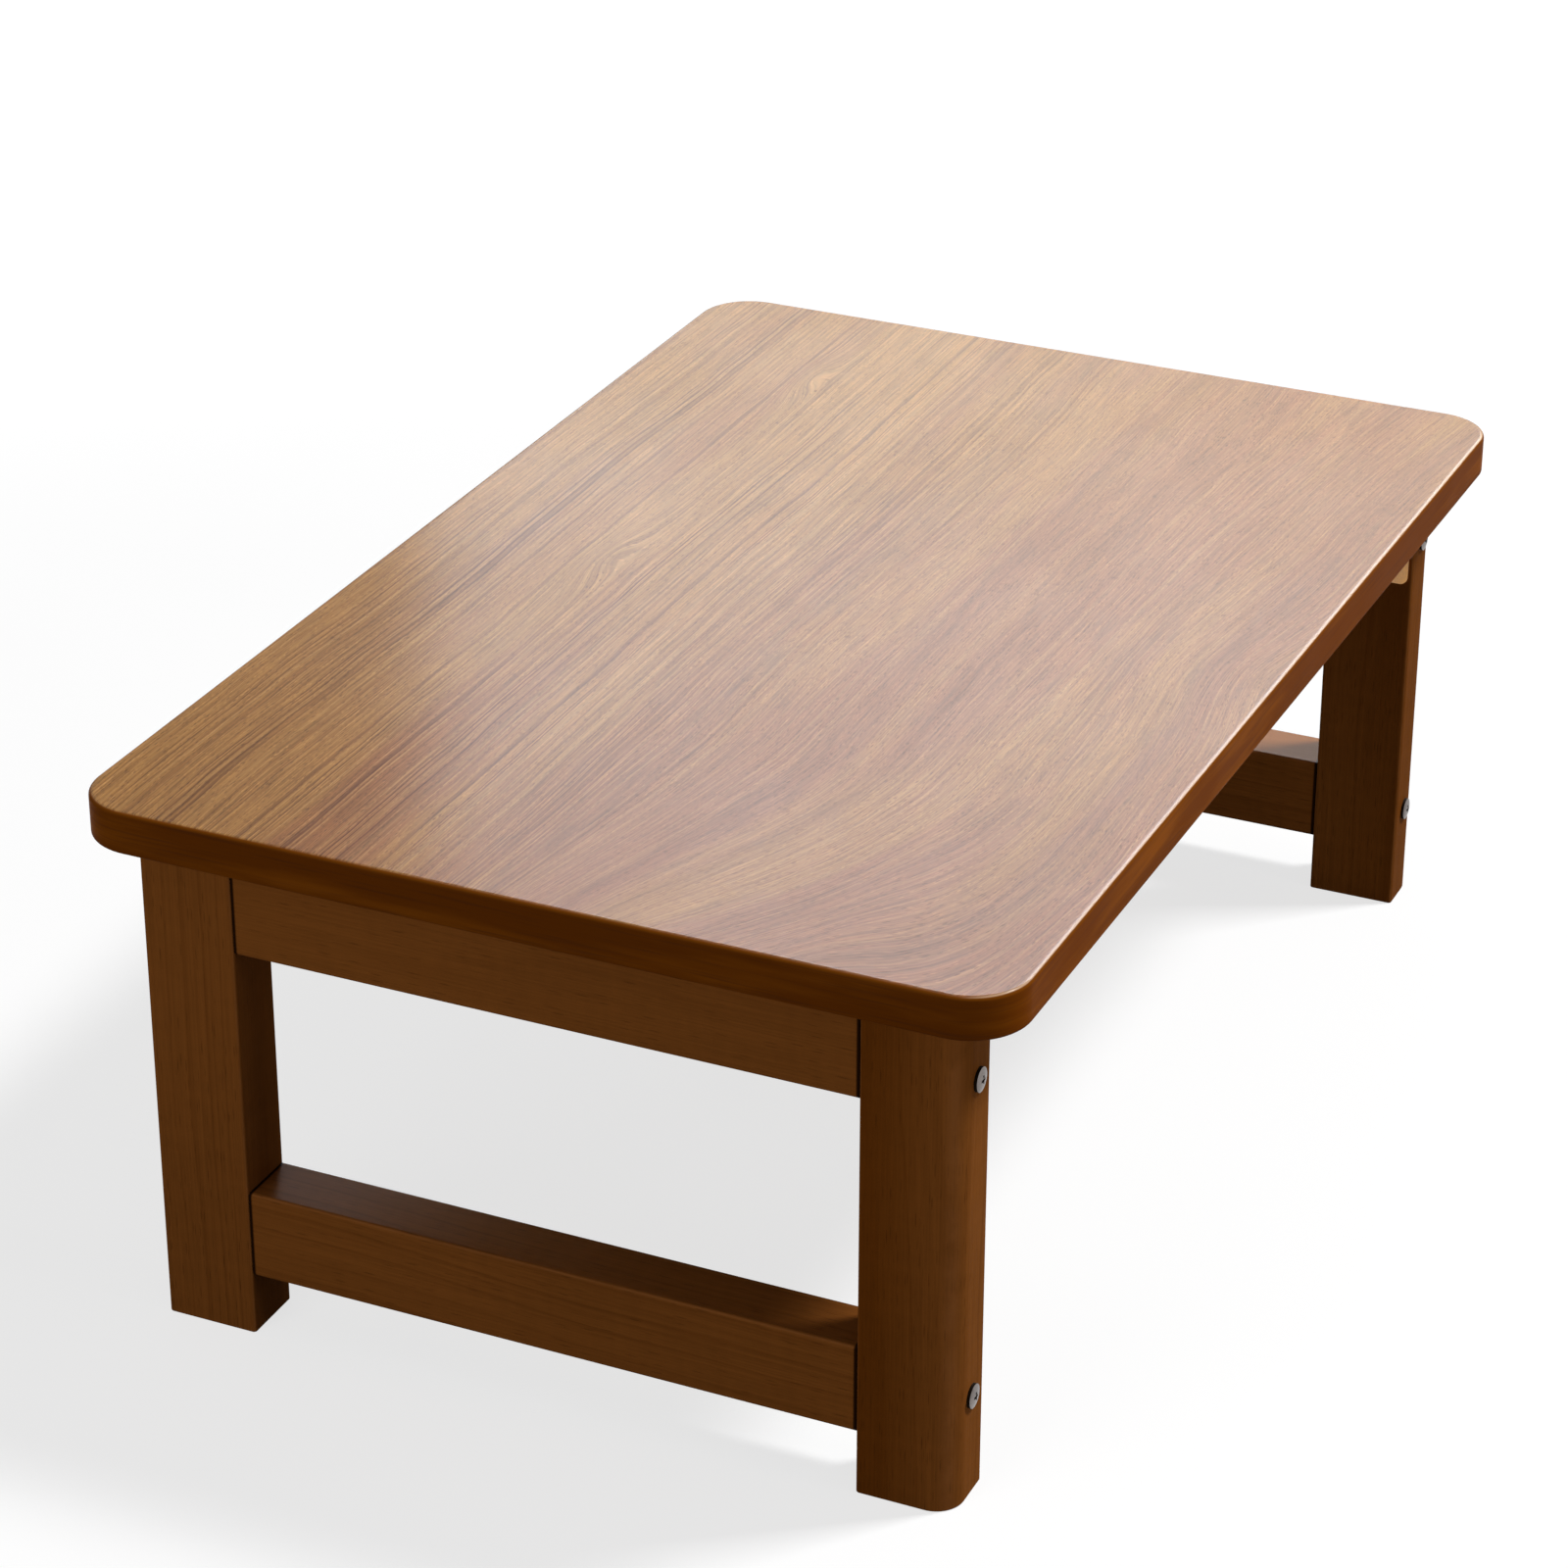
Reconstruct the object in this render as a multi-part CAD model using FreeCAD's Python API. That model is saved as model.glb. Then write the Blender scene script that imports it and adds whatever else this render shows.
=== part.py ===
import FreeCAD, Part
import math
import os

# A low folding table. The origin is on the floor under the middle of the top.
# X runs across the top, Y runs along it and Z is up. The front is at -Y and the right is at +X.
# Each piece of a corner is made once for the right rear and mirrored to the other three.

Vector = FreeCAD.Vector
ORIGIN = Vector(0, 0, 0)
ALONG_X = Vector(1, 0, 0)
ALONG_Y = Vector(0, 1, 0)
ALONG_Z = Vector(0, 0, 1)

# Tabletop, one solid panel
top_length = 920.0
top_width = 600.0
top_thickness = 28.0
top_corner_radius = 38.0
top_upper_round = 3.0
top_lower_round = 2.0

# Legs, four flat posts
leg_height = 333.0
leg_width = 62.0
leg_depth = 44.0
leg_side_overhang = 35.0
leg_end_overhang = 22.0
right_leg_corner_radius = 18.0
left_leg_corner_radius = 3.0
leg_edge_round = 2.5
leg_end_round = 1.0
leg_top_clearance = 0.3

# Rails, one upper and one lower in each leg frame
upper_rail_height = 65.0
lower_rail_height = 59.0
lower_rail_floor_gap = 42.0
rail_setback = 1.0
rail_edge_round = 2.5
rail_joint_clearance = 0.1

# Frame screws, one through the leg into each rail end
frame_screw_head_radius = 7.6
frame_screw_head_height = 3.2
frame_screw_rim_height = 2.0
frame_screw_radius = 3.5
frame_screw_core_radius = 2.5
frame_screw_reach = 44.0
frame_screw_thread_pitch = 4.0
frame_screw_recess_radius = 4.2
frame_screw_recess_depth = 2.4
frame_screw_recess_slot = 1.7
upper_screw_below_top = 50.0
lower_screw_above_floor = 70.0
frame_screw_inward_shift = 4.0

# Dowels, one beside each frame screw
dowel_radius = 4.0
dowel_length = 40.0
dowel_chamfer = 1.0
upper_dowel_below_top = 20.0
lower_dowel_above_floor = 88.0

# Folding brackets, one inside each leg
plate_thickness = 2.0
bracket_pivot_offset = 16.0
bracket_ear_radius = 10.0
bracket_side_margin = 3.0
bracket_bend_radius = 1.6
bracket_corner_radius = 6.0
bracket_plate_gap = 0.2
leg_plate_length = 76.0
leg_plate_top_clearance = 2.0
leg_web_length = 54.0
top_plate_length = 48.0

# Pivot bolts and their washers
bolt_radius = 3.0
bolt_head_radius = 7.0
bolt_head_height = 3.2
bolt_neck_side = 6.4
bolt_tail = 1.5
bolt_tail_chamfer = 0.6
pivot_clearance = 0.05
washer_radius = 5.6
washer_thickness = 1.6
washer_split = 1.0
washer_clearance = 0.1

# Wing nuts
nut_base_radius = 5.6
nut_nose_radius = 4.6
nut_height = 8.0
wing_thickness = 2.4
wing_ear_radius = 4.5
wing_span_radius = 12.0
wing_rise = 3.0

# Bracket screws, four in each plate
bracket_screw_head_radius = 4.0
bracket_screw_head_height = 2.0
bracket_screw_rim_height = 0.6
bracket_screw_radius = 2.0
bracket_screw_core_radius = 1.4
bracket_screw_reach = 18.0
bracket_screw_thread_pitch = 2.4
bracket_screw_recess_radius = 2.2
bracket_screw_recess_depth = 1.5
bracket_screw_recess_slot = 0.9
bracket_screw_edge_gap = 12.0
leg_plate_screw_spacing = 28.0
leg_plate_screw_low_gap = 10.0

# Overrun of every cut past the face that it opens
cut_overrun = 1.0

# How far off a place an edge may lie and still count as lying there
place_tolerance = 0.0001

# Places that follow from the sizes above
underside_z = leg_height
leg_top_z = leg_height - leg_top_clearance
leg_outer_x = top_width / 2 - leg_side_overhang
leg_inner_x = leg_outer_x - leg_width
leg_outer_y = top_length / 2 - leg_end_overhang
leg_inner_y = leg_outer_y - leg_depth
leg_middle_y = (leg_inner_y + leg_outer_y) / 2
rail_inner_y = leg_inner_y + rail_setback
rail_outer_y = leg_outer_y - rail_setback
frame_screw_y = leg_middle_y - frame_screw_inward_shift
upper_screw_z = underside_z - upper_screw_below_top
upper_dowel_z = underside_z - upper_dowel_below_top

pivot_y = leg_inner_y - bracket_pivot_offset
pivot_z = underside_z - bracket_pivot_offset
leg_web_x = leg_inner_x
top_web_x = leg_web_x + plate_thickness + bracket_plate_gap
bracket_outer_x = leg_outer_x - bracket_side_margin
leg_plate_high_z = underside_z - leg_plate_top_clearance
leg_plate_low_z = leg_plate_high_z - leg_plate_length
top_plate_outer_y = pivot_y + bracket_ear_radius
top_plate_inner_y = top_plate_outer_y - top_plate_length
washer_outer_x = leg_web_x - bracket_plate_gap
nut_outer_x = washer_outer_x - washer_thickness - washer_clearance
nut_end_x = nut_outer_x - nut_height
wing_tip_x = nut_end_x - wing_rise
bolt_end_x = nut_end_x - bolt_tail

SIDES = {"left": -1, "right": 1}
ENDS = {"front": -1, "rear": 1}


def block(low, high):
    """A box between two opposite corners."""
    size = high - low
    return Part.makeBox(size.x, size.y, size.z, low)


def rod(radius, start, end):
    """A round bar between two points."""
    reach = end - start
    return Part.makeCylinder(radius, reach.Length, start, reach)


def edges_at(shape, X=None, Y=None, Z=None):
    """The edges of a shape that lie wholly at the given places on the axes."""
    found = []
    for edge in shape.Edges:
        box = edge.BoundBox
        spans = [(X, box.XMin, box.XMax), (Y, box.YMin, box.YMax), (Z, box.ZMin, box.ZMax)]
        misses = [max(abs(low - place), abs(high - place))
                  for place, low, high in spans if place is not None]
        if max(misses) < place_tolerance:
            found.append(edge)
    return found


def rounded_block(low, high, radii):
    """A box whose four upright edges have their own radii, in turn from the low X and low Y one."""
    corners = [Vector(low.x, low.y, low.z), Vector(high.x, low.y, low.z),
               Vector(high.x, high.y, low.z), Vector(low.x, high.y, low.z)]
    starts = []
    arcs = []
    ends = []
    for turn, (corner, radius) in enumerate(zip(corners, radii)):
        way_in = (corner - corners[turn - 1]).normalize()
        way_out = (corners[(turn + 1) % 4] - corner).normalize()
        start = corner - way_in * radius
        end = corner + way_out * radius
        centre = start + way_out * radius
        bulge = centre + (corner - centre).normalize() * radius
        starts.append(start)
        ends.append(end)
        arcs.append(Part.Arc(start, bulge, end).toShape())
    edges = []
    for turn in range(4):
        edges.append(arcs[turn])
        edges.append(Part.LineSegment(ends[turn], starts[(turn + 1) % 4]).toShape())
    return Part.Face(Part.Wire(edges)).extrude(ALONG_Z * (high.z - low.z))


def at_corner(shape, side, end):
    """Mirrors a right rear piece to another corner of the table."""
    placed = shape
    if SIDES[side] < 0:
        placed = placed.mirror(ORIGIN, ALONG_X)
    if ENDS[end] < 0:
        placed = placed.mirror(ORIGIN, ALONG_Y)
    return placed


def dome_arc(seat, radius, rise):
    """The arc of a ball shaped dome in the XY plane, from its rim to its crown on the X axis."""
    ball_radius = (radius ** 2 + rise ** 2) / (2 * rise)
    half_angle = math.asin(radius / ball_radius) / 2
    middle_rise = rise - ball_radius * (1 - math.cos(half_angle))
    rim = seat + ALONG_Y * radius
    middle = seat + ALONG_X * middle_rise + ALONG_Y * (ball_radius * math.sin(half_angle))
    crown = seat + ALONG_X * rise
    return Part.Arc(rim, middle, crown).toShape()


def screw(head_radius, head_height, rim_height, radius, core_radius, shank, reach, pitch,
          recess_radius, recess_depth, recess_slot):
    """A wood screw along -X with a domed head. The head seats on the plane of X zero."""
    tip = Vector(-shank - reach, 0, 0)
    points = [tip]
    thread_start = -shank - reach + radius
    points.append(Vector(thread_start, core_radius, 0))
    turns = int((reach - radius) / pitch)
    for turn in range(turns):
        foot = thread_start + turn * pitch
        points.append(Vector(foot + pitch / 2, radius, 0))
        points.append(Vector(foot + pitch, core_radius, 0))
    last_foot = thread_start + turns * pitch
    points.append(Vector(last_foot + (radius - core_radius), radius, 0))
    points.append(Vector(0, radius, 0))
    points.append(Vector(0, head_radius, 0))
    rim = Vector(rim_height, head_radius, 0)
    points.append(rim)
    crown = Vector(head_height, 0, 0)
    edges = [Part.LineSegment(a, b).toShape() for a, b in zip(points, points[1:])]
    edges.append(dome_arc(Vector(rim_height, 0, 0), head_radius, head_height - rim_height))
    edges.append(Part.LineSegment(crown, tip).toShape())
    body = Part.Face(Part.Wire(edges)).revolve(ORIGIN, ALONG_X, 360)
    return body.cut(cross_recess(head_height, recess_radius, recess_depth, recess_slot))


def cross_recess(head_height, recess_radius, recess_depth, recess_slot):
    """The cross shaped driver recess in a screw head, narrowing as it goes in."""
    mouth = head_height + cut_overrun
    depth = recess_depth + cut_overrun
    cone = Part.makeCone(recess_slot / 2, recess_radius, depth, Vector(mouth - depth, 0, 0), ALONG_X)
    half = recess_slot / 2
    upright = block(Vector(mouth - depth, -half, -recess_radius), Vector(mouth, half, recess_radius))
    level = block(Vector(mouth - depth, -recess_radius, -half), Vector(mouth, recess_radius, half))
    return cone.common(upright.fuse(level))


def frame_screw(place_z):
    """A screw from the outer face of a leg into the end of a rail."""
    shape = screw(
        frame_screw_head_radius, frame_screw_head_height, frame_screw_rim_height,
        frame_screw_radius, frame_screw_core_radius, leg_width, frame_screw_reach,
        frame_screw_thread_pitch, frame_screw_recess_radius, frame_screw_recess_depth,
        frame_screw_recess_slot)
    shape.translate(Vector(leg_outer_x, frame_screw_y, place_z))
    return shape


def bracket_screw():
    """A short screw for the bracket plates, along -X."""
    return screw(
        bracket_screw_head_radius, bracket_screw_head_height, bracket_screw_rim_height,
        bracket_screw_radius, bracket_screw_core_radius, plate_thickness, bracket_screw_reach,
        bracket_screw_thread_pitch, bracket_screw_recess_radius, bracket_screw_recess_depth,
        bracket_screw_recess_slot)


def leg_plate_screw_places():
    """Seats of the screws that hold a leg plate, on the plate's open face."""
    face_y = leg_inner_y - plate_thickness
    columns = [top_web_x + bracket_screw_edge_gap, bracket_outer_x - bracket_screw_edge_gap]
    low_row = leg_plate_low_z + leg_plate_screw_low_gap
    rows = [low_row, low_row + leg_plate_screw_spacing]
    return [Vector(x, face_y, z) for x in columns for z in rows]


def top_plate_screw_places():
    """Seats of the screws that hold a top plate, on the plate's lower face."""
    face_z = underside_z - plate_thickness
    columns = [top_web_x + bracket_screw_edge_gap, bracket_outer_x - bracket_screw_edge_gap]
    rows = [top_plate_inner_y + bracket_screw_edge_gap, top_plate_outer_y - bracket_screw_edge_gap]
    return [Vector(x, y, face_z) for x in columns for y in rows]


def tabletop():
    """The panel, with round plan corners, eased edges and the blind holes of the bracket screws."""
    half_x = top_width / 2
    half_y = top_length / 2
    top_z = underside_z + top_thickness
    low = Vector(-half_x, -half_y, underside_z)
    panel = rounded_block(low, Vector(half_x, half_y, top_z), [top_corner_radius] * 4)
    panel = panel.makeFillet(top_upper_round, edges_at(panel, Z=top_z))
    panel = panel.makeFillet(top_lower_round, edges_at(panel, Z=underside_z))
    for side in SIDES:
        for end in ENDS:
            for seat in top_plate_screw_places():
                tip = seat + ALONG_Z * (plate_thickness + bracket_screw_reach)
                panel = panel.cut(at_corner(rod(bracket_screw_radius, seat, tip), side, end))
    return panel


def leg(side):
    """A leg with its rounded outer corner, its joint holes and the holes of its bracket plate."""
    low = Vector(leg_inner_x, leg_inner_y, 0)
    high = Vector(leg_outer_x, leg_outer_y, leg_top_z)
    outer_radius = right_leg_corner_radius
    if side == "left":
        outer_radius = left_leg_corner_radius
    post = rounded_block(low, high, [leg_edge_round, leg_edge_round, outer_radius, leg_edge_round])
    post = post.makeFillet(leg_end_round, edges_at(post, Z=0))
    return post.cut(Part.makeCompound(leg_holes()))


def leg_holes():
    """The screw and dowel holes of a leg, as solids to cut away."""
    holes = []
    for place_z in (upper_screw_z, lower_screw_above_floor):
        start = Vector(leg_inner_x - cut_overrun, frame_screw_y, place_z)
        end = Vector(leg_outer_x + cut_overrun, frame_screw_y, place_z)
        holes.append(rod(frame_screw_radius, start, end))
    for place_z in (upper_dowel_z, lower_dowel_above_floor):
        start = Vector(leg_inner_x - cut_overrun, leg_middle_y, place_z)
        end = Vector(leg_inner_x + dowel_length / 2, leg_middle_y, place_z)
        holes.append(rod(dowel_radius, start, end))
    for seat in leg_plate_screw_places():
        tip = seat + ALONG_Y * (plate_thickness + bracket_screw_reach)
        holes.append(rod(bracket_screw_radius, seat, tip))
    return holes


def rail(low_z, high_z, screw_z, dowel_z, end):
    """A rail between the two legs of a frame, with the holes of its joints in both ends."""
    half_x = leg_inner_x - rail_joint_clearance
    bar = block(Vector(-half_x, rail_inner_y, low_z), Vector(half_x, rail_outer_y, high_z))
    long_edges = []
    for place_y in (rail_inner_y, rail_outer_y):
        for place_z in (low_z, high_z):
            long_edges += edges_at(bar, Y=place_y, Z=place_z)
    bar = bar.makeFillet(rail_edge_round, long_edges)
    for side in SIDES:
        start = Vector(half_x + cut_overrun, frame_screw_y, screw_z)
        tip = Vector(leg_inner_x - frame_screw_reach, frame_screw_y, screw_z)
        bar = bar.cut(at_corner(rod(frame_screw_radius, start, tip), side, "rear"))
        start = Vector(half_x + cut_overrun, leg_middle_y, dowel_z)
        tip = Vector(leg_inner_x - dowel_length / 2, leg_middle_y, dowel_z)
        bar = bar.cut(at_corner(rod(dowel_radius, start, tip), side, "rear"))
    return at_corner(bar, "right", end)


def upper_rail(end):
    """The rail at the top of a frame, up against the tabletop."""
    return rail(leg_top_z - upper_rail_height, leg_top_z, upper_screw_z, upper_dowel_z, end)


def lower_rail(end):
    """The rail near the floor."""
    high_z = lower_rail_floor_gap + lower_rail_height
    return rail(lower_rail_floor_gap, high_z, lower_screw_above_floor, lower_dowel_above_floor, end)


def dowels():
    """The two dowels between one leg and its rails."""
    pins = []
    for place_z in (upper_dowel_z, lower_dowel_above_floor):
        start = Vector(leg_inner_x - dowel_length / 2, leg_middle_y, place_z)
        end = Vector(leg_inner_x + dowel_length / 2, leg_middle_y, place_z)
        pin = rod(dowel_radius, start, end)
        pins.append(pin.makeChamfer(dowel_chamfer, edges_at(pin, X=start.x) + edges_at(pin, X=end.x)))
    return Part.makeCompound(pins)


def tangent_point(centre, radius, point, turn):
    """Where a line from a point touches a circle in the YZ plane. Turn picks the side."""
    reach = point - centre
    angle = math.atan2(reach.z, reach.y) + turn * math.acos(radius / reach.Length)
    return centre + Vector(0, radius * math.cos(angle), radius * math.sin(angle))


def eared_web(web_x, base_start, base_end, start_turn):
    """A flat web from a straight base to a round ear about the pivot."""
    centre = Vector(web_x, pivot_y, pivot_z)
    start_touch = tangent_point(centre, bracket_ear_radius, base_start, start_turn)
    end_touch = tangent_point(centre, bracket_ear_radius, base_end, -start_turn)
    outline = Part.makePolygon([base_start, start_touch, centre, end_touch, base_end, base_start])
    sheet = Part.Face(outline).extrude(ALONG_X * plate_thickness)
    ear = rod(bracket_ear_radius, centre, centre + ALONG_X * plate_thickness)
    return sheet.fuse(ear)


def leg_plate():
    """The bracket half on a leg: a flange down the inner face and a web with the pivot ear."""
    low = Vector(leg_web_x, leg_inner_y - plate_thickness, leg_plate_low_z)
    high = Vector(bracket_outer_x, leg_inner_y, leg_plate_high_z)
    flange = block(low, high)
    free = edges_at(flange, X=high.x, Z=low.z) + edges_at(flange, X=high.x, Z=high.z)
    flange = flange.makeFillet(bracket_corner_radius, free)
    web_top = Vector(leg_web_x, leg_inner_y, pivot_z + bracket_ear_radius)
    web_foot = Vector(leg_web_x, leg_inner_y, web_top.z - leg_web_length)
    web = eared_web(leg_web_x, web_foot, web_top, -1)
    plate = flange.fuse(web).removeSplitter()
    plate = plate.makeFillet(bracket_bend_radius, edges_at(plate, X=leg_web_x, Y=leg_inner_y))
    bore_start = Vector(leg_web_x - cut_overrun, pivot_y, pivot_z)
    bore_end = Vector(leg_web_x + plate_thickness + cut_overrun, pivot_y, pivot_z)
    plate = plate.cut(rod(bolt_radius + pivot_clearance, bore_start, bore_end))
    for seat in leg_plate_screw_places():
        start = seat - ALONG_Y * cut_overrun
        end = seat + ALONG_Y * (plate_thickness + cut_overrun)
        plate = plate.cut(rod(bracket_screw_radius, start, end))
    return plate


def top_plate():
    """The bracket half under the tabletop: a flange and a web that carries the pivot bolt."""
    low = Vector(top_web_x, top_plate_inner_y, underside_z - plate_thickness)
    high = Vector(bracket_outer_x, top_plate_outer_y, underside_z)
    flange = block(low, high)
    free = edges_at(flange, X=high.x, Y=low.y) + edges_at(flange, X=high.x, Y=high.y)
    flange = flange.makeFillet(bracket_corner_radius, free)
    web_start = Vector(top_web_x, top_plate_inner_y, underside_z)
    web_end = Vector(top_web_x, top_plate_outer_y, underside_z)
    web = eared_web(top_web_x, web_start, web_end, 1)
    plate = flange.fuse(web).removeSplitter()
    plate = plate.makeFillet(bracket_bend_radius, edges_at(plate, X=top_web_x, Z=underside_z))
    half = bolt_neck_side / 2
    neck_low = Vector(top_web_x - cut_overrun, pivot_y - half, pivot_z - half)
    neck_high = Vector(top_web_x + plate_thickness + cut_overrun, pivot_y + half, pivot_z + half)
    plate = plate.cut(block(neck_low, neck_high))
    for seat in top_plate_screw_places():
        start = seat - ALONG_Z * cut_overrun
        end = seat + ALONG_Z * (plate_thickness + cut_overrun)
        plate = plate.cut(rod(bracket_screw_radius, start, end))
    return plate


def pivot_bolt():
    """A bolt through both webs. Its square neck sits in the top plate's web."""
    head_x = top_web_x + plate_thickness
    axis_end = Vector(bolt_end_x, pivot_y, pivot_z)
    head_seat = Vector(head_x, pivot_y, pivot_z)
    rim = head_seat + ALONG_Y * bolt_head_radius
    crown = head_seat + ALONG_X * bolt_head_height
    points = [
        axis_end,
        axis_end + ALONG_Y * (bolt_radius - bolt_tail_chamfer),
        axis_end + ALONG_X * bolt_tail_chamfer + ALONG_Y * bolt_radius,
        head_seat + ALONG_Y * bolt_radius,
        rim,
    ]
    edges = [Part.LineSegment(a, b).toShape() for a, b in zip(points, points[1:])]
    edges.append(dome_arc(head_seat, bolt_head_radius, bolt_head_height))
    edges.append(Part.LineSegment(crown, axis_end).toShape())
    turned = Part.Face(Part.Wire(edges)).revolve(head_seat, ALONG_X, 360)
    half = bolt_neck_side / 2
    neck = block(Vector(top_web_x, pivot_y - half, pivot_z - half),
                 Vector(head_x, pivot_y + half, pivot_z + half))
    return turned.fuse(neck)


def spring_washer():
    """A split ring under the wing nut."""
    start = Vector(washer_outer_x - washer_thickness, pivot_y, pivot_z)
    end = Vector(washer_outer_x, pivot_y, pivot_z)
    ring = rod(washer_radius, start, end).cut(rod(bolt_radius + pivot_clearance, start, end))
    half = washer_split / 2
    slot_low = Vector(start.x - cut_overrun, pivot_y - half, pivot_z)
    slot_high = Vector(end.x + cut_overrun, pivot_y + half, pivot_z + washer_radius + cut_overrun)
    return ring.cut(block(slot_low, slot_high))


def wing_nut():
    """A nut with two upright wings, on the end of the pivot bolt."""
    base = Vector(nut_outer_x, pivot_y, pivot_z)
    shape = Part.makeCone(nut_base_radius, nut_nose_radius, nut_height, base, ALONG_X * -1)
    half = wing_thickness / 2
    ear_place = wing_span_radius - wing_ear_radius
    ear_x = wing_tip_x + wing_ear_radius
    for way in (-1, 1):
        centre_y = pivot_y + way * ear_place
        ear_low = Vector(ear_x, centre_y, pivot_z - half)
        ear = rod(wing_ear_radius, ear_low, ear_low + ALONG_Z * wing_thickness)
        low_y = min(pivot_y, centre_y)
        high_y = max(pivot_y, centre_y)
        arm = block(Vector(ear_x - wing_ear_radius / 2, low_y, pivot_z - half),
                    Vector(ear_x + wing_ear_radius, high_y, pivot_z + half))
        shape = shape.fuse(ear).fuse(arm)
    bore_start = Vector(nut_outer_x + cut_overrun, pivot_y, pivot_z)
    bore_end = Vector(wing_tip_x - cut_overrun, pivot_y, pivot_z)
    return shape.cut(rod(bolt_radius + pivot_clearance, bore_start, bore_end)).removeSplitter()


def leg_plate_screws():
    """The four screws that hold a leg plate."""
    screws = []
    for seat in leg_plate_screw_places():
        shape = bracket_screw()
        shape.rotate(ORIGIN, ALONG_Z, -90)
        shape.translate(seat)
        screws.append(shape)
    return Part.makeCompound(screws)


def top_plate_screws():
    """The four screws that hold a top plate."""
    screws = []
    for seat in top_plate_screw_places():
        shape = bracket_screw()
        shape.rotate(ORIGIN, ALONG_Y, 90)
        shape.translate(seat)
        screws.append(shape)
    return Part.makeCompound(screws)


def corner_pieces(side, end):
    """Every piece of one corner, by node name."""
    corner = end + "_" + side + "_"
    pieces = {
        "leg": leg(side),
        "upper_frame_screw": frame_screw(upper_screw_z),
        "lower_frame_screw": frame_screw(lower_screw_above_floor),
        "dowels": dowels(),
        "leg_plate": leg_plate(),
        "leg_plate_screws": leg_plate_screws(),
        "top_plate": top_plate(),
        "top_plate_screws": top_plate_screws(),
        "pivot_bolt": pivot_bolt(),
        "spring_washer": spring_washer(),
        "wing_nut": wing_nut(),
    }
    return {corner + name: at_corner(shape, side, end) for name, shape in pieces.items()}


def all_pieces():
    """Every node of the table, by name."""
    pieces = {"tabletop": tabletop()}
    for end in ENDS:
        pieces[end + "_upper_rail"] = upper_rail(end)
        pieces[end + "_lower_rail"] = lower_rail(end)
        for side in SIDES:
            pieces.update(corner_pieces(side, end))
    return pieces


os.makedirs("parts", exist_ok=True)
for node, piece in all_pieces().items():
    if not piece.isValid():
        raise ValueError("the solid of " + node + " is not valid")
    piece.exportStep("parts/" + node + ".step")
    box = piece.BoundBox
    print(node, len(piece.Solids), "solids, volume", round(piece.Volume),
          "x", round(box.XMin, 1), round(box.XMax, 1),
          "y", round(box.YMin, 1), round(box.YMax, 1),
          "z", round(box.ZMin, 1), round(box.ZMax, 1))
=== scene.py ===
"""A low folding table in Blender: its board, leg frames, fittings and studio.

The table stands on the floor with its length along Y and its front at -Y. Every size is in metres.
"""

import math

import bpy
from mathutils import Matrix, Vector


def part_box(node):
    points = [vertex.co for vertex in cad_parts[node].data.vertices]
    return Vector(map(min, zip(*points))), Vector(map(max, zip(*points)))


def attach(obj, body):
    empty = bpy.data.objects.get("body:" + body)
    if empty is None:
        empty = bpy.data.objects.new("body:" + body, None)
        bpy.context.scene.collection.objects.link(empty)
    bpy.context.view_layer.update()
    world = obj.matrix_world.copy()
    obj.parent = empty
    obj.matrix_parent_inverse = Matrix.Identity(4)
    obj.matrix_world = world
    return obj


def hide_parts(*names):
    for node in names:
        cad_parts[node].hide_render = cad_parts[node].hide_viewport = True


bl_info = {
    "name": "Folding low table",
    "version": (1, 0, 0),
    "blender": (4, 5, 0),
    "location": "View3D > Sidebar > Low Table",
    "description": "Makes the wood, the fittings and the studio of a folding low table",
    "category": "Object",
}

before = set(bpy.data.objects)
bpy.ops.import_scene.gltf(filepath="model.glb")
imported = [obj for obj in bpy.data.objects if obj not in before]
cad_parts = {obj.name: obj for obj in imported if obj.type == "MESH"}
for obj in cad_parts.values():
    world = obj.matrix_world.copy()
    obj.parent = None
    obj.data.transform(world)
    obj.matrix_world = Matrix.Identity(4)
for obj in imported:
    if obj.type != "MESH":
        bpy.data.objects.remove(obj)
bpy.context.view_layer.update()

ENDS = ("front", "rear")
SIDES = ("left", "right")
CORNERS = [end + "_" + side for end in ENDS for side in SIDES]
QUARTER_TURN = math.radians(90)
GOLDEN_TURN = math.radians(137.5)
WHITE = (1.0, 1.0, 1.0, 1.0)
MID_NOISE = (0.5, 0.5, 0.5)

# Shares of painted shade at a piece's left and right side, and the share of painted light on its top
PAINTED_SIDE_SHADE = {"front_right_leg": (0.85, 0.0), "rear_right_leg": (0.0, 0.45)}
PAINTED_TOP_LIGHT = {"rear_lower_rail": 0.55}

# Bends in the board's grain: a dip about its middle, a fan from its start to the front and a tail
# from its start to the rear. Each grows across the board from one place to another, as the sway
# does, and the fan weakens again.
DIP_MIDDLE = -0.012
DIP_REACH = 0.085
DIP_DEPTH = 0.030
DIP_GROWS = (0.17, 0.29)
FAN_START = -0.20
FAN_GROWS = (-0.06, 0.08)
FAN_WEAKENS = (0.30, 0.17)
FAN_BENDS = (0.3, 1.4)
TAIL_START = 0.05
TAIL_GROWS = (0.12, 0.27)
TAIL_BEND = -0.16
SWAY_GROWS = (-0.10, 0.05)
SWAY = (0.0035, 0.0075)
TREMBLE = 0.0011

# Eyes in the figure: place across, place along and half width of each. Their length and their
# swell are that many half widths.
BOARD_EYES = ((-0.165, -0.012, 0.013), (-0.171, 0.335, 0.011))
EYE_LENGTH = 3.6
EYE_SWELL = 1.1

# Number of the figure's line that runs through the middle of the board
MIDDLE_LINE = 171.3

# How far the pith lies from the middle of a leg or rail, and how many times as far the second one
PITH_DISTANCE = 0.085
SECOND_PITH = 4

# Upward part of the normal where the top of a leg or rail begins, and where it is full
TOP_FACES = (0.7, 0.95)

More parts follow.
